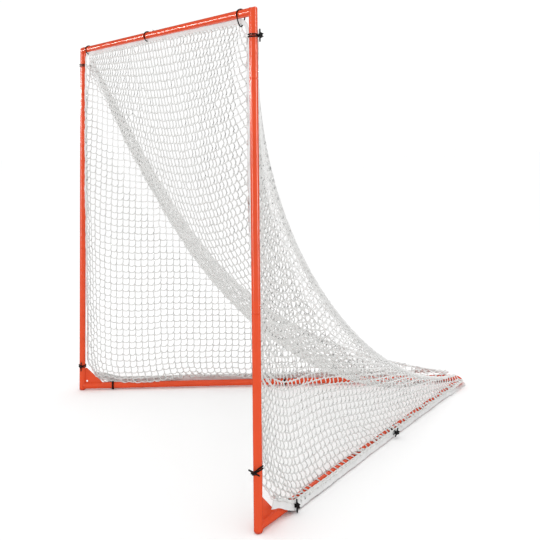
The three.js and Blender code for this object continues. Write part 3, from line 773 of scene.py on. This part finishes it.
def add_snap_button(name):
    """A domed pin with its flange, on the leg of the leaf spring that carries it."""
    seam, into, press = JOINTS[name]
    origin = seam + into * BUTTON_FROM_SEAM
    flange_top = SLIP_R - TUBE_WALL - 1.6 * MM
    flange_bottom = flange_top - 1 * MM
    top = TUBE_R + BUTTON_PROUD
    dome = [
        (BUTTON_R * math.cos(a), top - BUTTON_DOME * (1 - math.sin(a)))
        for a in np.linspace(0, math.pi / 2, 8)[:-1]
    ]
    profile = [
        (0, flange_bottom), (BUTTON_FLANGE_R, flange_bottom), (BUTTON_FLANGE_R, flange_top),
        (BUTTON_R, flange_top), *dome, (0, top),
    ]
    pin = turned("pin", profile, origin, press, BUTTON_STEEL, 32)
    sharp_at(pin)
    add_part(f"{name}_button_pin", pin, f"{name}_button", "button_steel", f"{name}_snap_button")
    level = origin + press * (flange_bottom - 0.3 * MM)
    start = level + into * SPRING_LEG["before"]
    end = level - into * SPRING_LEG["after"]
    across = into.cross(press).normalized()
    leg = flat_bar("leg", start, end, across, press, SPRING_LEG["width"], SPRING_LEG["thick"])
    add_part(f"{name}_button_leg", leg, f"{name}_button", "button_steel")


def flat_bar(name, start, end, across, normal, width, thick):
    """A thin steel bar with rounded corners in plan."""
    along = (end - start).normalized()
    length = (end - start).length
    outline = []
    corner = width * 0.3
    far, side = length - corner, width / 2 - corner
    corners = ((far, side), (corner, side), (corner, -side), (far, -side))
    for first, (x, y) in enumerate(corners):
        for k in range(5):
            angle = math.pi / 2 * (first + k / 4)
            outline.append((x + corner * math.cos(angle), y + corner * math.sin(angle)))
    lower = [start + along * x + across * y - normal * (thick / 2) for x, y in outline]
    return prism(name, lower, normal * thick, BUTTON_STEEL, smooth=False)


def add_frame():
    for side, sign in SIDES:
        add_corner_section(side, sign)
        add_posts(side, sign)
        add_base_tubes(side, sign)
        add_welds(side, sign)
        add_foot_cap(side, sign)
        bevel_node(f"{side}_gusset", 0.8 * MM, PAINT)
    add_apex_section()
    for name in JOINTS:
        add_snap_button(name)
        bevel_node(f"{name}_snap_spring", 0.15 * MM, SPRING_STEEL)


# ---------------------------------------------------------------- net


def unit(vectors):
    return vectors / np.maximum(np.linalg.norm(vectors, axis=-1, keepdims=True), 1e-9)


def run_lengths(points):
    """Distance along the points to each of them."""
    return np.r_[0, np.cumsum(np.linalg.norm(np.diff(points, axis=0), axis=1))]


def read_off(at, keys, table):
    """The table's rows, interpolated at these keys."""
    return np.stack([np.interp(at, keys, column) for column in np.asarray(table).T], 1)


def bezier(controls, t):
    t = np.asarray(t)[:, None]
    a, b, c, d = controls
    return (1 - t) ** 3 * a + 3 * (1 - t) ** 2 * t * b + 3 * (1 - t) * t * t * c + t ** 3 * d


def ridge_points(sign, count=400):
    """The ridge from the top corner to the apex, evenly spaced."""
    dense = bezier(RIDGE, np.linspace(0, 1, 2000))
    steps = run_lengths(dense)
    points = read_off(np.linspace(0, steps[-1], count), steps, dense)
    points[:, 0] *= sign
    points[:, 1] += POST_Y
    return points


# Netting is bunched within this depth of a ridge: the width of net drawn in there, the least of
# it, and how far a bunched strand bows.
GATHER = {"depth": 0.14, "extra": 0.26, "least": 0.10, "bow": 0.005}


def gather(flat, line, inward, depth):
    """Bunches flat netting against a ridge line. flat holds nominal knot places, some past the
    line; they are drawn in to its inner side. Returns the new places and the nominal distance,
    as a share of the depth there, and which knots stay."""
    offsets = flat[:, None, :] - line[None, :, :]
    nearest = np.argmin((offsets ** 2).sum(2), axis=1)
    normal = inward[nearest]
    local = depth[nearest]
    extra = np.maximum(local * GATHER["extra"] / GATHER["depth"], GATHER["least"])
    t = ((flat - line[nearest]) * normal).sum(1)
    along = np.abs(((flat - line[nearest]) * normal[:, ::-1] * (1, -1)).sum(1))
    power = (local + extra) / local
    share = np.clip((t + extra) / (local + extra), 0, None)
    drawn = np.where(t < local, local * share ** power, t)
    keep = (t > -extra) & ((along < CELL * 0.7) | (t > 0))
    places = np.where((t < local)[:, None], line[nearest] + normal * drawn[:, None], flat)
    return places, t / local, keep


def relax(points, edges, lengths, held, weight=0.00035, steps=260, passes=7):
    """Lets free knots hang from the held ones. A strand stops its two knots from going further
    apart than its length, and is free to go slack."""
    first, second = edges[:, 0], edges[:, 1]
    free = (~held).astype(float)
    share = free[first] + free[second]
    share[share == 0] = 1.0
    first_share, second_share = free[first] / share, free[second] / share
    count = len(points)
    degree = np.bincount(edges.ravel(), minlength=count).clip(1)
    before = points.copy()
    for step in range(steps):
        pull = weight if step < steps * 0.8 else 0.0
        drift = (points - before) * 0.9
        before = points.copy()
        points = points + drift * free[:, None]
        points[:, 2] -= pull * free
        for _ in range(passes):
            gap = points[second] - points[first]
            span = np.linalg.norm(gap, axis=1)
            over = np.clip(span - lengths, 0, None) / np.maximum(span, 1e-9)
            fix = gap * over[:, None]
            for k in range(3):
                push = np.bincount(first, fix[:, k] * first_share, count)
                push -= np.bincount(second, fix[:, k] * second_share, count)
                points[:, k] += push * 1.6 / degree
    return points


def grid_edges(index):
    """Strands between neighbouring knots of a grid; index holds -1 where there is no knot."""
    pairs = []
    for a, b in ((index[:, :-1], index[:, 1:]), (index[:-1, :], index[1:, :])):
        both = (a >= 0) & (b >= 0)
        pairs.append(np.stack([a[both], b[both]], 1))
    return pairs


def hem_edges(sign, distance):
    """Lower and upper edge of the base hem, at distances from the post. The right one hangs
    outside its tube and curls in under it towards the rear; the left one stands above its tube.
    Both rise over the tube at the front. Places across the tube are in millimetres here."""
    base = BASES[sign]
    distance = np.atleast_1d(np.asarray(distance, float))
    rear = np.clip((distance - 0.25) / 0.95, 0, 1)
    front = np.clip((0.225 - distance) / 0.16, 0, 1)
    raised = (56 if sign > 0 else 30) * front * front * (3 - 2 * front)
    if sign > 0:
        low_out, low_z, high_out, high_z = 31 - 13 * rear, 4, 24, 39 - 5 * rear
    else:
        low_out, low_z, high_out, high_z = 21 + 0 * rear, 24, 24, 56
    middle = np.outer(distance, base.along) + np.array(base.at(0, 0, 0))
    low_out = low_out - raised * 0.2
    low = middle + (np.outer(low_out, base.outward) + np.outer(low_z + raised, UP)) * MM
    high = middle + (np.outer(high_out + 0 * rear, base.outward) + np.outer(high_z + raised, UP)) * MM
    return low, high


def bar_hem_drop(across):
    """How far the mouth hem's middle hangs below the crossbar's axis, more to the right."""
    return (23 + 5 * np.clip(np.asarray(across) / POST_X, 0, 1)) * MM


def post_hem_line(height):
    """Distance of the mouth hem's middle inside the post and behind it. Towards the foot the
    hem is drawn out behind the post."""
    drawn = np.clip((1.15 - np.asarray(height)) / 0.85, 0, 1)
    return HEM_INSIDE_POST - drawn * 26 * MM, drawn * 24 * MM


def foot_line(sign, distance):
    """Where the side net meets the base hem."""
    low, high = hem_edges(sign, distance)
    return high + (low - high) * 0.08


# The side nets' front corners are cut off. A panel's rows fall towards the rear and close up
# until they are closest, its columns lean, and it has upright folds.
CORNER_CUT = {"along": 0.93 * BASE_HEM_START, "up": 0.93 * (HEM_END_Z - 60 * MM)}
CLOSED_FROM = 1.1
FALLS_FROM = 0.2
SIDE_HANG = {
    1: {"closing": 0.24, "fall": 0.14, "lean": 0.16, "fold": 22 * MM},
    -1: {"closing": 0.06, "fall": 0.05, "lean": 0.03, "fold": 38 * MM},
}


def side_net(sign):
    """Knots and strands of one side panel: columns rise from the base, rows run along it."""
    base = BASES[sign]
    tilt = SIDE_HANG[sign]
    ridge = ridge_points(sign)
    reach = (ridge - np.array(base.at(0))) @ np.array(base.along)
    rise = np.linalg.norm(ridge - foot_line(sign, reach), axis=1)
    line = np.stack([reach, rise], 1)
    slope = unit(np.gradient(line, axis=0))
    inward = np.stack([slope[:, 1], -slope[:, 0]], 1)
    depth = np.minimum(GATHER["depth"], 0.35 * rise + 0.004)
    hem_edge = Vector((sign * (POST_X - HEM_INSIDE_POST - HEM_WIDTH / 2 + 2 * MM), POST_Y, 0))
    first_column = (hem_edge - base.at(0, z=0)) @ base.along
    columns = np.arange(0, int(reach.max() / CELL) + 4)
    least_step = CELL * (1 - tilt["closing"])
    rows = np.arange(0, int((rise.max() + tilt["fall"] * reach.max()) / least_step) + 4)
    row_grid, column_grid = np.meshgrid(rows, columns, indexing="ij")
    away = column_grid.ravel() * CELL
    row_step = CELL * (1.02 - tilt["closing"] * np.clip(away / CLOSED_FROM, 0, 1) ** 0.8)
    fall = tilt["fall"] * np.clip(away - FALLS_FROM, 0, None)
    lowest = np.round(fall / row_step)
    row = row_grid.ravel()
    edge = row == lowest
    height = np.where(edge, 0, row * row_step - fall)
    lean = tilt["lean"] * height * np.clip(away / 0.5, 0, 1)
    flat = np.stack([first_column + away - lean, height], 1)
    places, share, keep = gather(flat, line, inward, depth)
    past_corner = flat[:, 0] / CORNER_CUT["along"] + flat[:, 1] / CORNER_CUT["up"] > 1
    keep &= past_corner & (flat[:, 0] < reach.max()) & (row >= lowest)
    head = read_off(places[:, 0], reach, ridge)
    foot = foot_line(sign, places[:, 0])
    length = np.maximum(np.linalg.norm(head - foot, axis=1), 1 * MM)
    up_share = np.clip(places[:, 1] / length, 0, 1)
    points = foot + (head - foot) * up_share[:, None]
    points += side_folds(sign, flat, up_share, share)
    at_post = (column_grid.ravel() == 0)
    from_post, back = post_hem_line(points[at_post, 2])
    points[at_post, 0] = sign * (POST_X - from_post - HEM_WIDTH / 2 + 2 * MM)
    points[at_post, 1] = POST_Y + back
    held = at_post | edge | (share < 0.1)
    row_length = np.full(len(flat), CELL * ROW_SLACK)
    column_length = row_step * COLUMN_SLACK
    return pack_net(points, keep, held, row_grid.shape, share, row_length, column_length, edge)


def side_folds(sign, flat, up_share, share):
    """Soft upright folds that fan out from the top corner, fading at the edges."""
    fan = flat[:, 0] / (0.35 + np.clip(1.9 - flat[:, 1], 0, None))
    swell = np.sin(fan * 26 + 1.1 * sign) * 0.6 + np.sin(fan * 57 + 0.4) * 0.4
    edge = np.sin(math.pi * np.clip(up_share, 0, 1)) * np.clip(flat[:, 0] * 4, 0, 1)
    height = SIDE_HANG[sign]["fold"] * swell * edge * np.clip(share / 2, 0, 1)
    return np.outer(height, BASES[sign].outward)


BACK_SMILE = 0.34                   # how much closer the back panel's rows are at its sides
ROW_SLACK, COLUMN_SLACK = 1.06, 1.03    # a side net's strand over its knots' nominal spacing
LENGTH_SPREAD = 0.012
DOUBLED = 1.9                       # thickness of the strands hitched to a hem, in twines


def back_net():
    """Knots and strands of the back panel: rows run across, columns run down the slope."""
    ridge = ridge_points(1)
    hem_z = BAR_Z - bar_hem_drop(0) - HEM_WIDTH / 2 + 2 * MM
    spine = np.vstack([[ridge[0, 0], POST_Y, hem_z], ridge])
    down = run_lengths(spine[:, 1:])
    line = np.stack([spine[:, 0], down], 1)
    slope = unit(np.gradient(line, axis=0))
    inward = np.stack([-slope[:, 1], slope[:, 0]], 1)
    depth = np.minimum(GATHER["depth"], 0.42 * spine[:, 0] + 0.004)
    columns = np.arange(-int(POST_X / CELL) - 3, int(POST_X / CELL) + 4)
    rows = np.arange(0, int(down.max() / (CELL * (1.03 - BACK_SMILE))) + 1)
    row_grid, column_grid = np.meshgrid(rows, columns, indexing="ij")
    share_out = np.clip(np.abs(column_grid.ravel() * CELL) / POST_X, 0, 1)
    row_step = CELL * (1.03 - BACK_SMILE * share_out ** 2.2)
    flat = np.stack([column_grid.ravel() * CELL, row_grid.ravel() * row_step], 1)
    mirrored = flat.copy()
    mirrored[:, 0] = np.abs(flat[:, 0])
    places, share, keep = gather(mirrored, line, inward, depth)
    places[:, 0] *= np.where(flat[:, 0] < 0, -1, 1)
    top_row = row_grid.ravel() == 0
    keep &= ~(top_row & (np.abs(flat[:, 0]) > POST_X - HEM_INSIDE_POST - 8 * MM))
    keep &= flat[:, 1] < down.max()
    points = np.column_stack([places[:, 0], read_off(places[:, 1], down, spine[:, 1:])])
    sag = (bar_hem_drop(points[:, 0]) - bar_hem_drop(0)) * np.clip(1 - flat[:, 1] / 0.25, 0, 1)
    points[:, 2] -= sag
    held = top_row | (share < 0.1)
    row_length = np.full(len(flat), CELL * 1.07)
    edge = np.zeros(len(flat), bool)
    return pack_net(points, keep, held, row_grid.shape, share, row_length, row_step * 1.02, edge)


def pack_net(points, keep, held, shape, share, row_length, column_length, edge):
    """Relaxes the kept knots; returns them, the strands with the row strands first, how many
    are row strands, which are in the bunched part and how thick each is. The strands that hitch
    the netting's edge to the hem are double."""
    index = np.full(len(points), -1)
    index[keep] = np.arange(keep.sum())
    row_strands, column_strands = grid_edges(index.reshape(shape))
    strands = np.vstack([row_strands, column_strands])
    lengths = np.r_[row_length[keep][row_strands[:, 0]], column_length[keep][column_strands[:, 0]]]
    lengths *= 1 + random_draw.normal(0, LENGTH_SPREAD, len(lengths))
    bunched = share[keep][strands].min(1) < 0.6
    settled = relax(points[keep], strands, lengths, held[keep])
    settled[:, 2] = np.maximum(settled[:, 2], 6 * MM)
    thick = np.where(edge[keep][strands].any(1), DOUBLED, 1.0)
    return settled, strands, len(row_strands), bunched, thick


def strand_curves(points, strands, row_count, bunched, slack):
    """Four points along each strand. A row's strands hang in a bow; a column's bow sideways,
    most of them the same way; where the net is bunched they only wander a little. Slack is the
    deepest bow of a row's and of a column's strand, as shares of the strand."""
    start, end = points[strands[:, 0]], points[strands[:, 1]]
    gap = end - start
    span = np.maximum(np.linalg.norm(gap, axis=1), 1e-6)
    is_row = np.arange(len(strands)) < row_count
    length = np.where(is_row, STRAND, STRAND * 0.95) * random_draw.uniform(0.96, 1.04, len(strands))
    bow = np.sqrt(3 / 8 * np.clip(length ** 2 - span ** 2, 0, None))     # of a shallow arc
    bow = np.minimum(bow, np.where(bunched, GATHER["bow"], np.where(is_row, *slack) * STRAND))
    toward = random_draw.normal(0, 0.35, start.shape)
    toward[is_row] += (0, 0, -1)
    toward[~is_row] += (0.9, 0.45, 0)
    along = gap / span[:, None]
    toward -= along * (toward * along).sum(1)[:, None]
    toward = unit(toward)
    shares = np.array([0.0, 0.3, 0.7, 1.0])
    curve = start[:, None] + gap[:, None] * shares[None, :, None]
    lift = 4 * shares * (1 - shares)
    return curve + (toward * bow[:, None])[:, None] * lift[None, :, None]


def clear_of_base(points):
    """The same points, with those inside a base tube moved straight out to lie on it."""
    reach = TUBE_R + 1.6 * TWINE_R
    for base in BASES.values():
        along = np.array(base.along)
        away = points - np.array(base.at(0))
        distance = away @ along
        across = away - distance[..., None] * along
        gap = np.maximum(np.linalg.norm(across, axis=-1), 1e-6)
        short = (gap < reach) & (distance > 0) & (distance < BASE_LENGTH)
        push = np.where(short, reach / gap - 1, 0)
        points = points + across * push[..., None]
    return points


def twine_mesh(name, curves, thick, knots, material, sides=5):
    """One mesh of strands and knots."""
    count, stations = curves.shape[:2]
    along = unit(np.gradient(curves, axis=1))
    helper = np.where(np.abs(along[:, :, 2:3]) > 0.9, np.array([1.0, 0, 0]), np.array([0, 0, 1.0]))
    first = unit(np.cross(along, helper))
    second = np.cross(along, first)
    radii = TWINE_R * np.array([1.25, 1.0, 1.0, 1.25])[None, :, None, None]
    radii = radii * thick[:, None, None, None]
    angles = 2 * np.pi * np.arange(sides) / sides
    ring = (first[:, :, None] * np.cos(angles)[None, None, :, None]
            + second[:, :, None] * np.sin(angles)[None, None, :, None]) * radii
    verts = (curves[:, :, None] + ring).reshape(-1, 3)
    base = (np.arange(count) * stations * sides)[:, None, None]
    station = (np.arange(stations - 1) * sides)[None, :, None]
    k = np.arange(sides)[None, None, :]
    following = (k + 1) % sides
    quads = np.stack([
        base + station + k, base + station + following,
        base + station + sides + following, base + station + sides + k,
    ], -1).reshape(-1, 4)
    knot_points, knot_faces = knot_shapes(knots)
    knot_faces = knot_faces + len(verts)
    return numpy_mesh(name, np.vstack([verts, knot_points]), quads[:, ::-1], knot_faces, material)


def knot_shapes(points):
    """A small rounded lump at every knot, each turned a little differently."""
    ball = bmesh.new()
    bmesh.ops.create_icosphere(ball, subdivisions=1, radius=1)
    shape = np.array([v.co for v in ball.verts])
    faces = np.array([[v.index for v in f.verts] for f in ball.faces])
    ball.free()
    count = len(points)
    sizes = KNOT_R * random_draw.uniform(0.85, 1.2, (count, 1, 3))
    turn = random_draw.uniform(0, 2 * math.pi, count)
    turned_x = shape[None, :, 0] * np.cos(turn)[:, None] - shape[None, :, 1] * np.sin(turn)[:, None]
    turned_y = shape[None, :, 0] * np.sin(turn)[:, None] + shape[None, :, 1] * np.cos(turn)[:, None]
    lumps = np.stack([turned_x, turned_y, np.broadcast_to(shape[None, :, 2], turned_x.shape)], -1)
    verts = (points[:, None] + lumps * sizes).reshape(-1, 3)
    offset = (np.arange(count) * len(shape))[:, None, None]
    return verts, (faces[None] + offset).reshape(-1, 3)


def numpy_mesh(name, verts, quads, triangles, material):
    mesh = bpy.data.meshes.new(name)
    mesh.vertices.add(len(verts))
    mesh.vertices.foreach_set("co", verts.astype(np.float32).ravel())
    corners = np.concatenate([quads.ravel(), triangles.ravel()]).astype(np.int32)
    starts = np.concatenate([
        np.arange(len(quads)) * 4,
        len(quads) * 4 + np.arange(len(triangles)) * 3,
    ]).astype(np.int32)
    mesh.loops.add(len(corners))
    mesh.loops.foreach_set("vertex_index", corners)
    mesh.polygons.add(len(starts))
    mesh.polygons.foreach_set("loop_start", starts)
    return finish_object(name, mesh, material)


def add_netting(name, node, net, slack):
    """A panel as two pieces: the open netting, and the part bunched along the ridges. The bunched part
    gets a lighter copy of the twine: painted light against the shade the bunch casts on itself.
    """
    points, strands, row_count, bunched, thick = net
    curves = clear_of_base(strand_curves(points, strands, row_count, bunched, slack))
    points = clear_of_base(points)
    in_bunch = np.zeros(len(points), bool)
    in_bunch[strands[bunched].ravel()] = True
    for part, chosen, knots, material in (
        ("open", ~bunched, ~in_bunch, TWINE), ("bunched", bunched, in_bunch, PAINTED_LIGHT_BUNCHED_TWINE),
    ):
        piece = twine_mesh("net", curves[chosen], thick[chosen], points[knots], material)
        add_part(f"{name}_{part}", piece, "goal", "net_twine", node)


def add_nets():
    for side, sign in SIDES:
        slack = (0.14, 0.18) if sign > 0 else (0.22, 0.16)
        add_netting(f"{side}_side_netting", f"{side}_side_net", side_net(sign), slack)
    add_netting("back_netting", "back_net", back_net(), (0.34, 0.22))


# ---------------------------------------------------------------- hems


def smooth_path(points, spacing):
    """A rounded path through the points, evenly spaced."""
    points = np.array([tuple(p) for p in points])
    ends = np.vstack([2 * points[0] - points[1], points, 2 * points[-1] - points[-2]])
    dense = []
    for i in range(1, len(ends) - 2):
        t = np.linspace(0, 1, 40, endpoint=False)[:, None]
        a, b, c, d = ends[i - 1:i + 3]
        dense.append(0.5 * (2 * b + (c - a) * t + (2 * a - 5 * b + 4 * c - d) * t ** 2
                            + (3 * b - a - 3 * c + d) * t ** 3))
    dense = np.vstack([*dense, points[-1:]])
    steps = run_lengths(dense)
    even = np.linspace(0, steps[-1], max(3, int(steps[-1] / spacing)))
    return read_off(even, steps, dense), steps[-1]


def tape(name, points, across, width, ripple, seed):
    """A woven tape along a path. Across gives its width direction at each point. It ripples a
    little and its edges are turned over."""
    middle, length = smooth_path(points, 6 * MM)
    share = np.linspace(0, 1, len(across))
    at = np.linspace(0, 1, len(middle))
    wide = read_off(at, share, [tuple(a) for a in across])
    along = unit(np.gradient(middle, axis=0))
    wide = unit(wide - along * (wide * along).sum(1)[:, None])
    face = np.cross(along, wide)
    distance = at * length
    wave = np.sin(distance * 23 + seed) + 0.6 * np.sin(distance * 61 + 2 * seed)
    sway = 0.4 * np.sin(distance * 37)
    middle = middle + (face * wave[:, None] + wide * sway[:, None]) * ripple
    half = width / 2
    quarter = [(0.4, 0.6), (0.78, 0.62), (0.86, 1.0), (0.97, 0.75)]
    top = [(-1.0, 0.0), *((-u, w) for u, w in quarter[::-1]), (0.0, 0.6), *quarter]
    section = top + [(-u, -w) for u, w in top]
    loops = []
    for k in range(len(middle)):
        flutter = 0.8 * MM * math.sin(distance[k] * 140 + seed)
        loops.append([
            middle[k] + wide[k] * (half * u) + face[k] * (HEM_THICK / 2 * w + flutter * u * u)
            for u, w in section
        ])
    points, faces = capped_skin(loops)
    piece = mesh_object(name, points, faces, TAPE)
    recalculate(piece)
    return piece, length


def add_mouth_hem():
    """Up inside one post, under the crossbar and down inside the other post."""
    inside = POST_X - HEM_INSIDE_POST
    cut_in = HEM_CORNER * 0.3
    halves = {}
    for sign in (1, -1):
        top = BAR_Z - bar_hem_drop(sign * inside)
        half = []
        for z in np.linspace(HEM_END_Z, top - HEM_CORNER, 34):
            from_post, back = post_hem_line(z)
            half.append(((sign * (POST_X - from_post), POST_Y + back, z), (-sign, 0, 0)))
        corner = (sign * (inside - cut_in), POST_Y, top - cut_in)
        half.append((corner, (-0.7 * sign, 0, -0.7)))
        for x in sign * np.linspace(inside - HEM_CORNER, 0, 18)[:-1]:
            half.append(((x, POST_Y, BAR_Z - bar_hem_drop(x)), (0, 0, -1)))
        halves[sign] = half
    run = halves[1] + halves[-1][::-1]
    piece, length = tape("hem", [p for p, _ in run], [a for _, a in run], HEM_WIDTH, 1.2 * MM, 0.3)
    add_part("mouth_hem_tape", piece, "goal", "hem_tape", "mouth_hem")


def add_base_hem():
    """Along both base tubes, and turned flat under the apex bend."""
    rear = BASE_LENGTH - BASE_HEM_REAR_END
    halves = {}
    for sign in (1, -1):
        base = BASES[sign]
        low, high = hem_edges(sign, np.linspace(BASE_HEM_START, rear, 34))
        middles = list((low + high) / 2)
        widths = list(low - high)
        for turned_flat in (0.25, 0.5, 0.75, 1):
            past = turned_flat * BASE_HEM_REAR_END * 0.8
            out, height = 22 - 14 * turned_flat, 21.5 - 16 * turned_flat
            middles.append(np.array(base.at(rear + past, out * MM, height * MM)))
            widths.append(np.array(base.outward * turned_flat - UP * (1 - turned_flat)))
        halves[sign] = middles, widths
    nose = np.array((0, APEX_TIP_Y - 8 * MM, 5.5 * MM))
    middles = halves[1][0] + [nose] + halves[-1][0][::-1]
    widths = halves[1][1] + [np.array(BACK)] + halves[-1][1][::-1]
    piece, length = tape("hem", middles, widths, BASE_HEM_WIDTH, 1.0 * MM, 1.7)
    add_part("base_hem_tape", piece, "goal", "hem_tape", "base_hem")


def add_net_edges(side, sign):
    """The net's border cord: along the hem's upper edge, and across the corner to the post."""
    base = BASES[sign]
    rear = BASE_LENGTH - BASE_HEM_REAR_END
    _, high = hem_edges(sign, np.linspace(BASE_HEM_START, rear + 0.2, 40))
    border = high + np.array(UP - base.outward) * (1 * MM)
    from_post, back = post_hem_line(HEM_END_Z)
    post_end = on_post(sign, HEM_END_Z + 6 * MM) - ACROSS * (sign * from_post) + BACK * back
    middle = (post_end + Vector(border[0])) / 2 + base.outward * (8 * MM) - UP * (6 * MM)
    path, _ = smooth_path([post_end, middle, *border], 5 * MM)
    wander = np.sin(np.arange(len(path)) * 0.9)[:, None] * np.array(UP) * (0.8 * MM)
    piece = rope("edge", path + wander, TWINE_R, TWINE, 8)
    add_part(f"{side}_net_border", piece, "goal", "net_twine")


def add_hems():
    add_mouth_hem()
    add_base_hem()
    for side, sign in SIDES:
        add_net_edges(side, sign)


# ---------------------------------------------------------------- ties

TOGGLE = {
    "length": 46 * MM, "r": 3.5 * MM, "claw_width": 26 * MM, "tip_width": 12 * MM,
    "claw_height": 14 * MM, "claw_thick": 5 * MM, "notch_r": 3.8 * MM, "edge": 0.9 * MM,
}


KNOT_BEHIND_TOGGLE = 7.6 * MM
TIE_GAP = {"post": 4.2 * MM, "base": 2.6 * MM}      # half the gap between a tie's two strands


def tie(place, tube, out, **changes):
    """Where a tie is on the tube, the tube's direction, the toggle's direction and distance from
    the tube, the toggle's turn, half the gap between the cord's two strands, how far the loop
    hangs below the tube, and how far it tilts."""
    usual = {"reach": TOGGLE_REACH, "turn": 0, "gap": 0.0, "dip": 0.0, "tilt": 0.0}
    return {**usual, "place": place, "tube": tube, "out": Vector(out).normalized(), **changes}


def ties():
    found = {}
    for name, x, dip in (("left", -0.840, 8), ("middle", -0.035, 8), ("right", 0.840, 28)):
        place = Vector((x, POST_Y, BAR_Z))
        found[f"crossbar_{name}_tie"] = tie(place, ACROSS, (0, 0.9, 0.43), dip=dip * MM)
    for name, sign, z, out, turn, tilt in (
        ("left_post_top", -1, 1.762, (-0.82, 0.57, 0), 0, 0),
        ("right_post_top", 1, 1.756, (0.82, 0.57, 0), 0, 0),
        ("left_post_foot", -1, 0.128, (0.8, -0.6, 0), 0, 0),
        ("right_post_foot", 1, 0.213, (0.5, -0.87, 0), 75, 13),
    ):
        changes = {"turn": turn, "gap": TIE_GAP["post"], "tilt": tilt * MM}
        found[f"{name}_tie"] = tie(on_post(sign, z), UP, out, **changes)
    for name, sign, distance, turn in (
        ("left_base_front", -1, 0.165, 0),
        ("right_base_front", 1, 0.205, 80),
        ("left_base_rear", -1, 1.100, 0),
        ("right_base_rear", 1, 1.100, 35),
    ):
        base = BASES[sign]
        out = base.outward + UP * BASE_TIE_LIFT
        changes = {"turn": turn, "gap": TIE_GAP["base"], "reach": BASE_TOGGLE_REACH}
        found[f"{name}_tie"] = tie(base.at(distance), base.along, out, **changes)
    return found


def add_tie_cord(name, tied):
    """Shock cord passed round the tube and drawn up to the toggle, one or two strands wide."""
    place, tube, out, gap = tied["place"], tied["tube"], tied["out"], tied["gap"]
    side = tube.cross(out).normalized()
    strands = (-gap, gap) if gap else (0.0,)
    meeting = place + out * (tied["reach"] - 1 * MM)
    for number, shift in enumerate(strands, 1):
        path = [meeting + side * 1.5 * MM + tube * (shift * 0.4)]
        for angle in np.linspace(math.radians(42), math.radians(318), 40):
            point = place + out * (RING_R * math.cos(angle)) + side * (RING_R * math.sin(angle))
            below = max(0.0, -(point - place).normalized().z) ** 2
            lean = tied["tilt"] * math.sin(angle)
            path.append(point - UP * (tied["dip"] * below) + tube * (shift + lean))
        path.append(meeting - side * 1.5 * MM + tube * (shift * 0.4))
        run, _ = smooth_path(path, 1.6 * MM)
        cord = rope("cord", run, CORD_R, CORD, 12)
        nodes = [f"{name}_cord"] if number == 1 else []
        add_part(f"{name}_strand_{number}", cord, "goal", "shock_cord", *nodes)
    profile = ((0, -4), (2.6, -3.7), (4.2, -1.6), (4.4, 1), (3.2, 3.2), (0, 4))
    profile = [(r * MM, height * MM) for r, height in profile]
    centre = place + out * (tied["reach"] - KNOT_BEHIND_TOGGLE)
    knot = turned("knot", profile, centre, out, CORD, 20)
    add_part(f"{name}_knot", knot, "goal", "shock_cord")


def add_toggle(name, tied):
    """A round-ended bar with a claw that narrows to two prongs."""
    out = tied["out"]
    bar_axis = Matrix.Rotation(math.radians(tied["turn"]), 3, out) @ tied["tube"]
    centre = tied["place"] + out * tied["reach"]
    half = TOGGLE["length"] / 2
    shares = (-1, -0.97, -0.8, -0.4, 0, 0.4, 0.8, 0.97, 1)
    path = [centre + bar_axis * (half * u * 0.93) for u in shares]
    radii = [TOGGLE["r"] * (0.82 + 0.18 * (1 - abs(u))) for u in shares]
    bar = rope("bar", path, radii, TOGGLE_PLASTIC, 20)
    add_part(f"{name}_toggle_bar", bar, f"{name}_swivel", "toggle_plastic", f"{name}_toggle")
    wide, tip, high = TOGGLE["claw_width"] / 2, TOGGLE["tip_width"] / 2, TOGGLE["claw_height"]
    notch = TOGGLE["notch_r"]
    root = 0.5 * MM
    outline = [(-wide, root), (wide, root)]
    for t in (0.3, 0.6, 0.85, 1):
        outline.append((wide + (tip - wide) * t ** 0.8, root + (high - root) * t))
    outline += [
        (notch * math.cos(a), high - notch * math.sin(a)) for a in np.linspace(0, math.pi, 13)
    ]
    outline += [(-x, y) for x, y in outline[2:6][::-1]]
    thick = bar_axis.cross(out).normalized() * TOGGLE["claw_thick"]
    face = [centre + bar_axis * x + out * y - thick / 2 for x, y in outline]
    claw = prism("claw", face, thick, TOGGLE_PLASTIC)
    bevel(claw, TOGGLE["edge"], 3, 50)
    apply_modifiers(claw)
    add_part(f"{name}_toggle_claw", claw, f"{name}_swivel", "toggle_plastic")


def add_ties():
    for name, tied in ties().items():
        add_tie_cord(name, tied)
        add_toggle(name, tied)


make_camera()
make_studio()
add_frame()
add_nets()
add_hems()
add_ties()
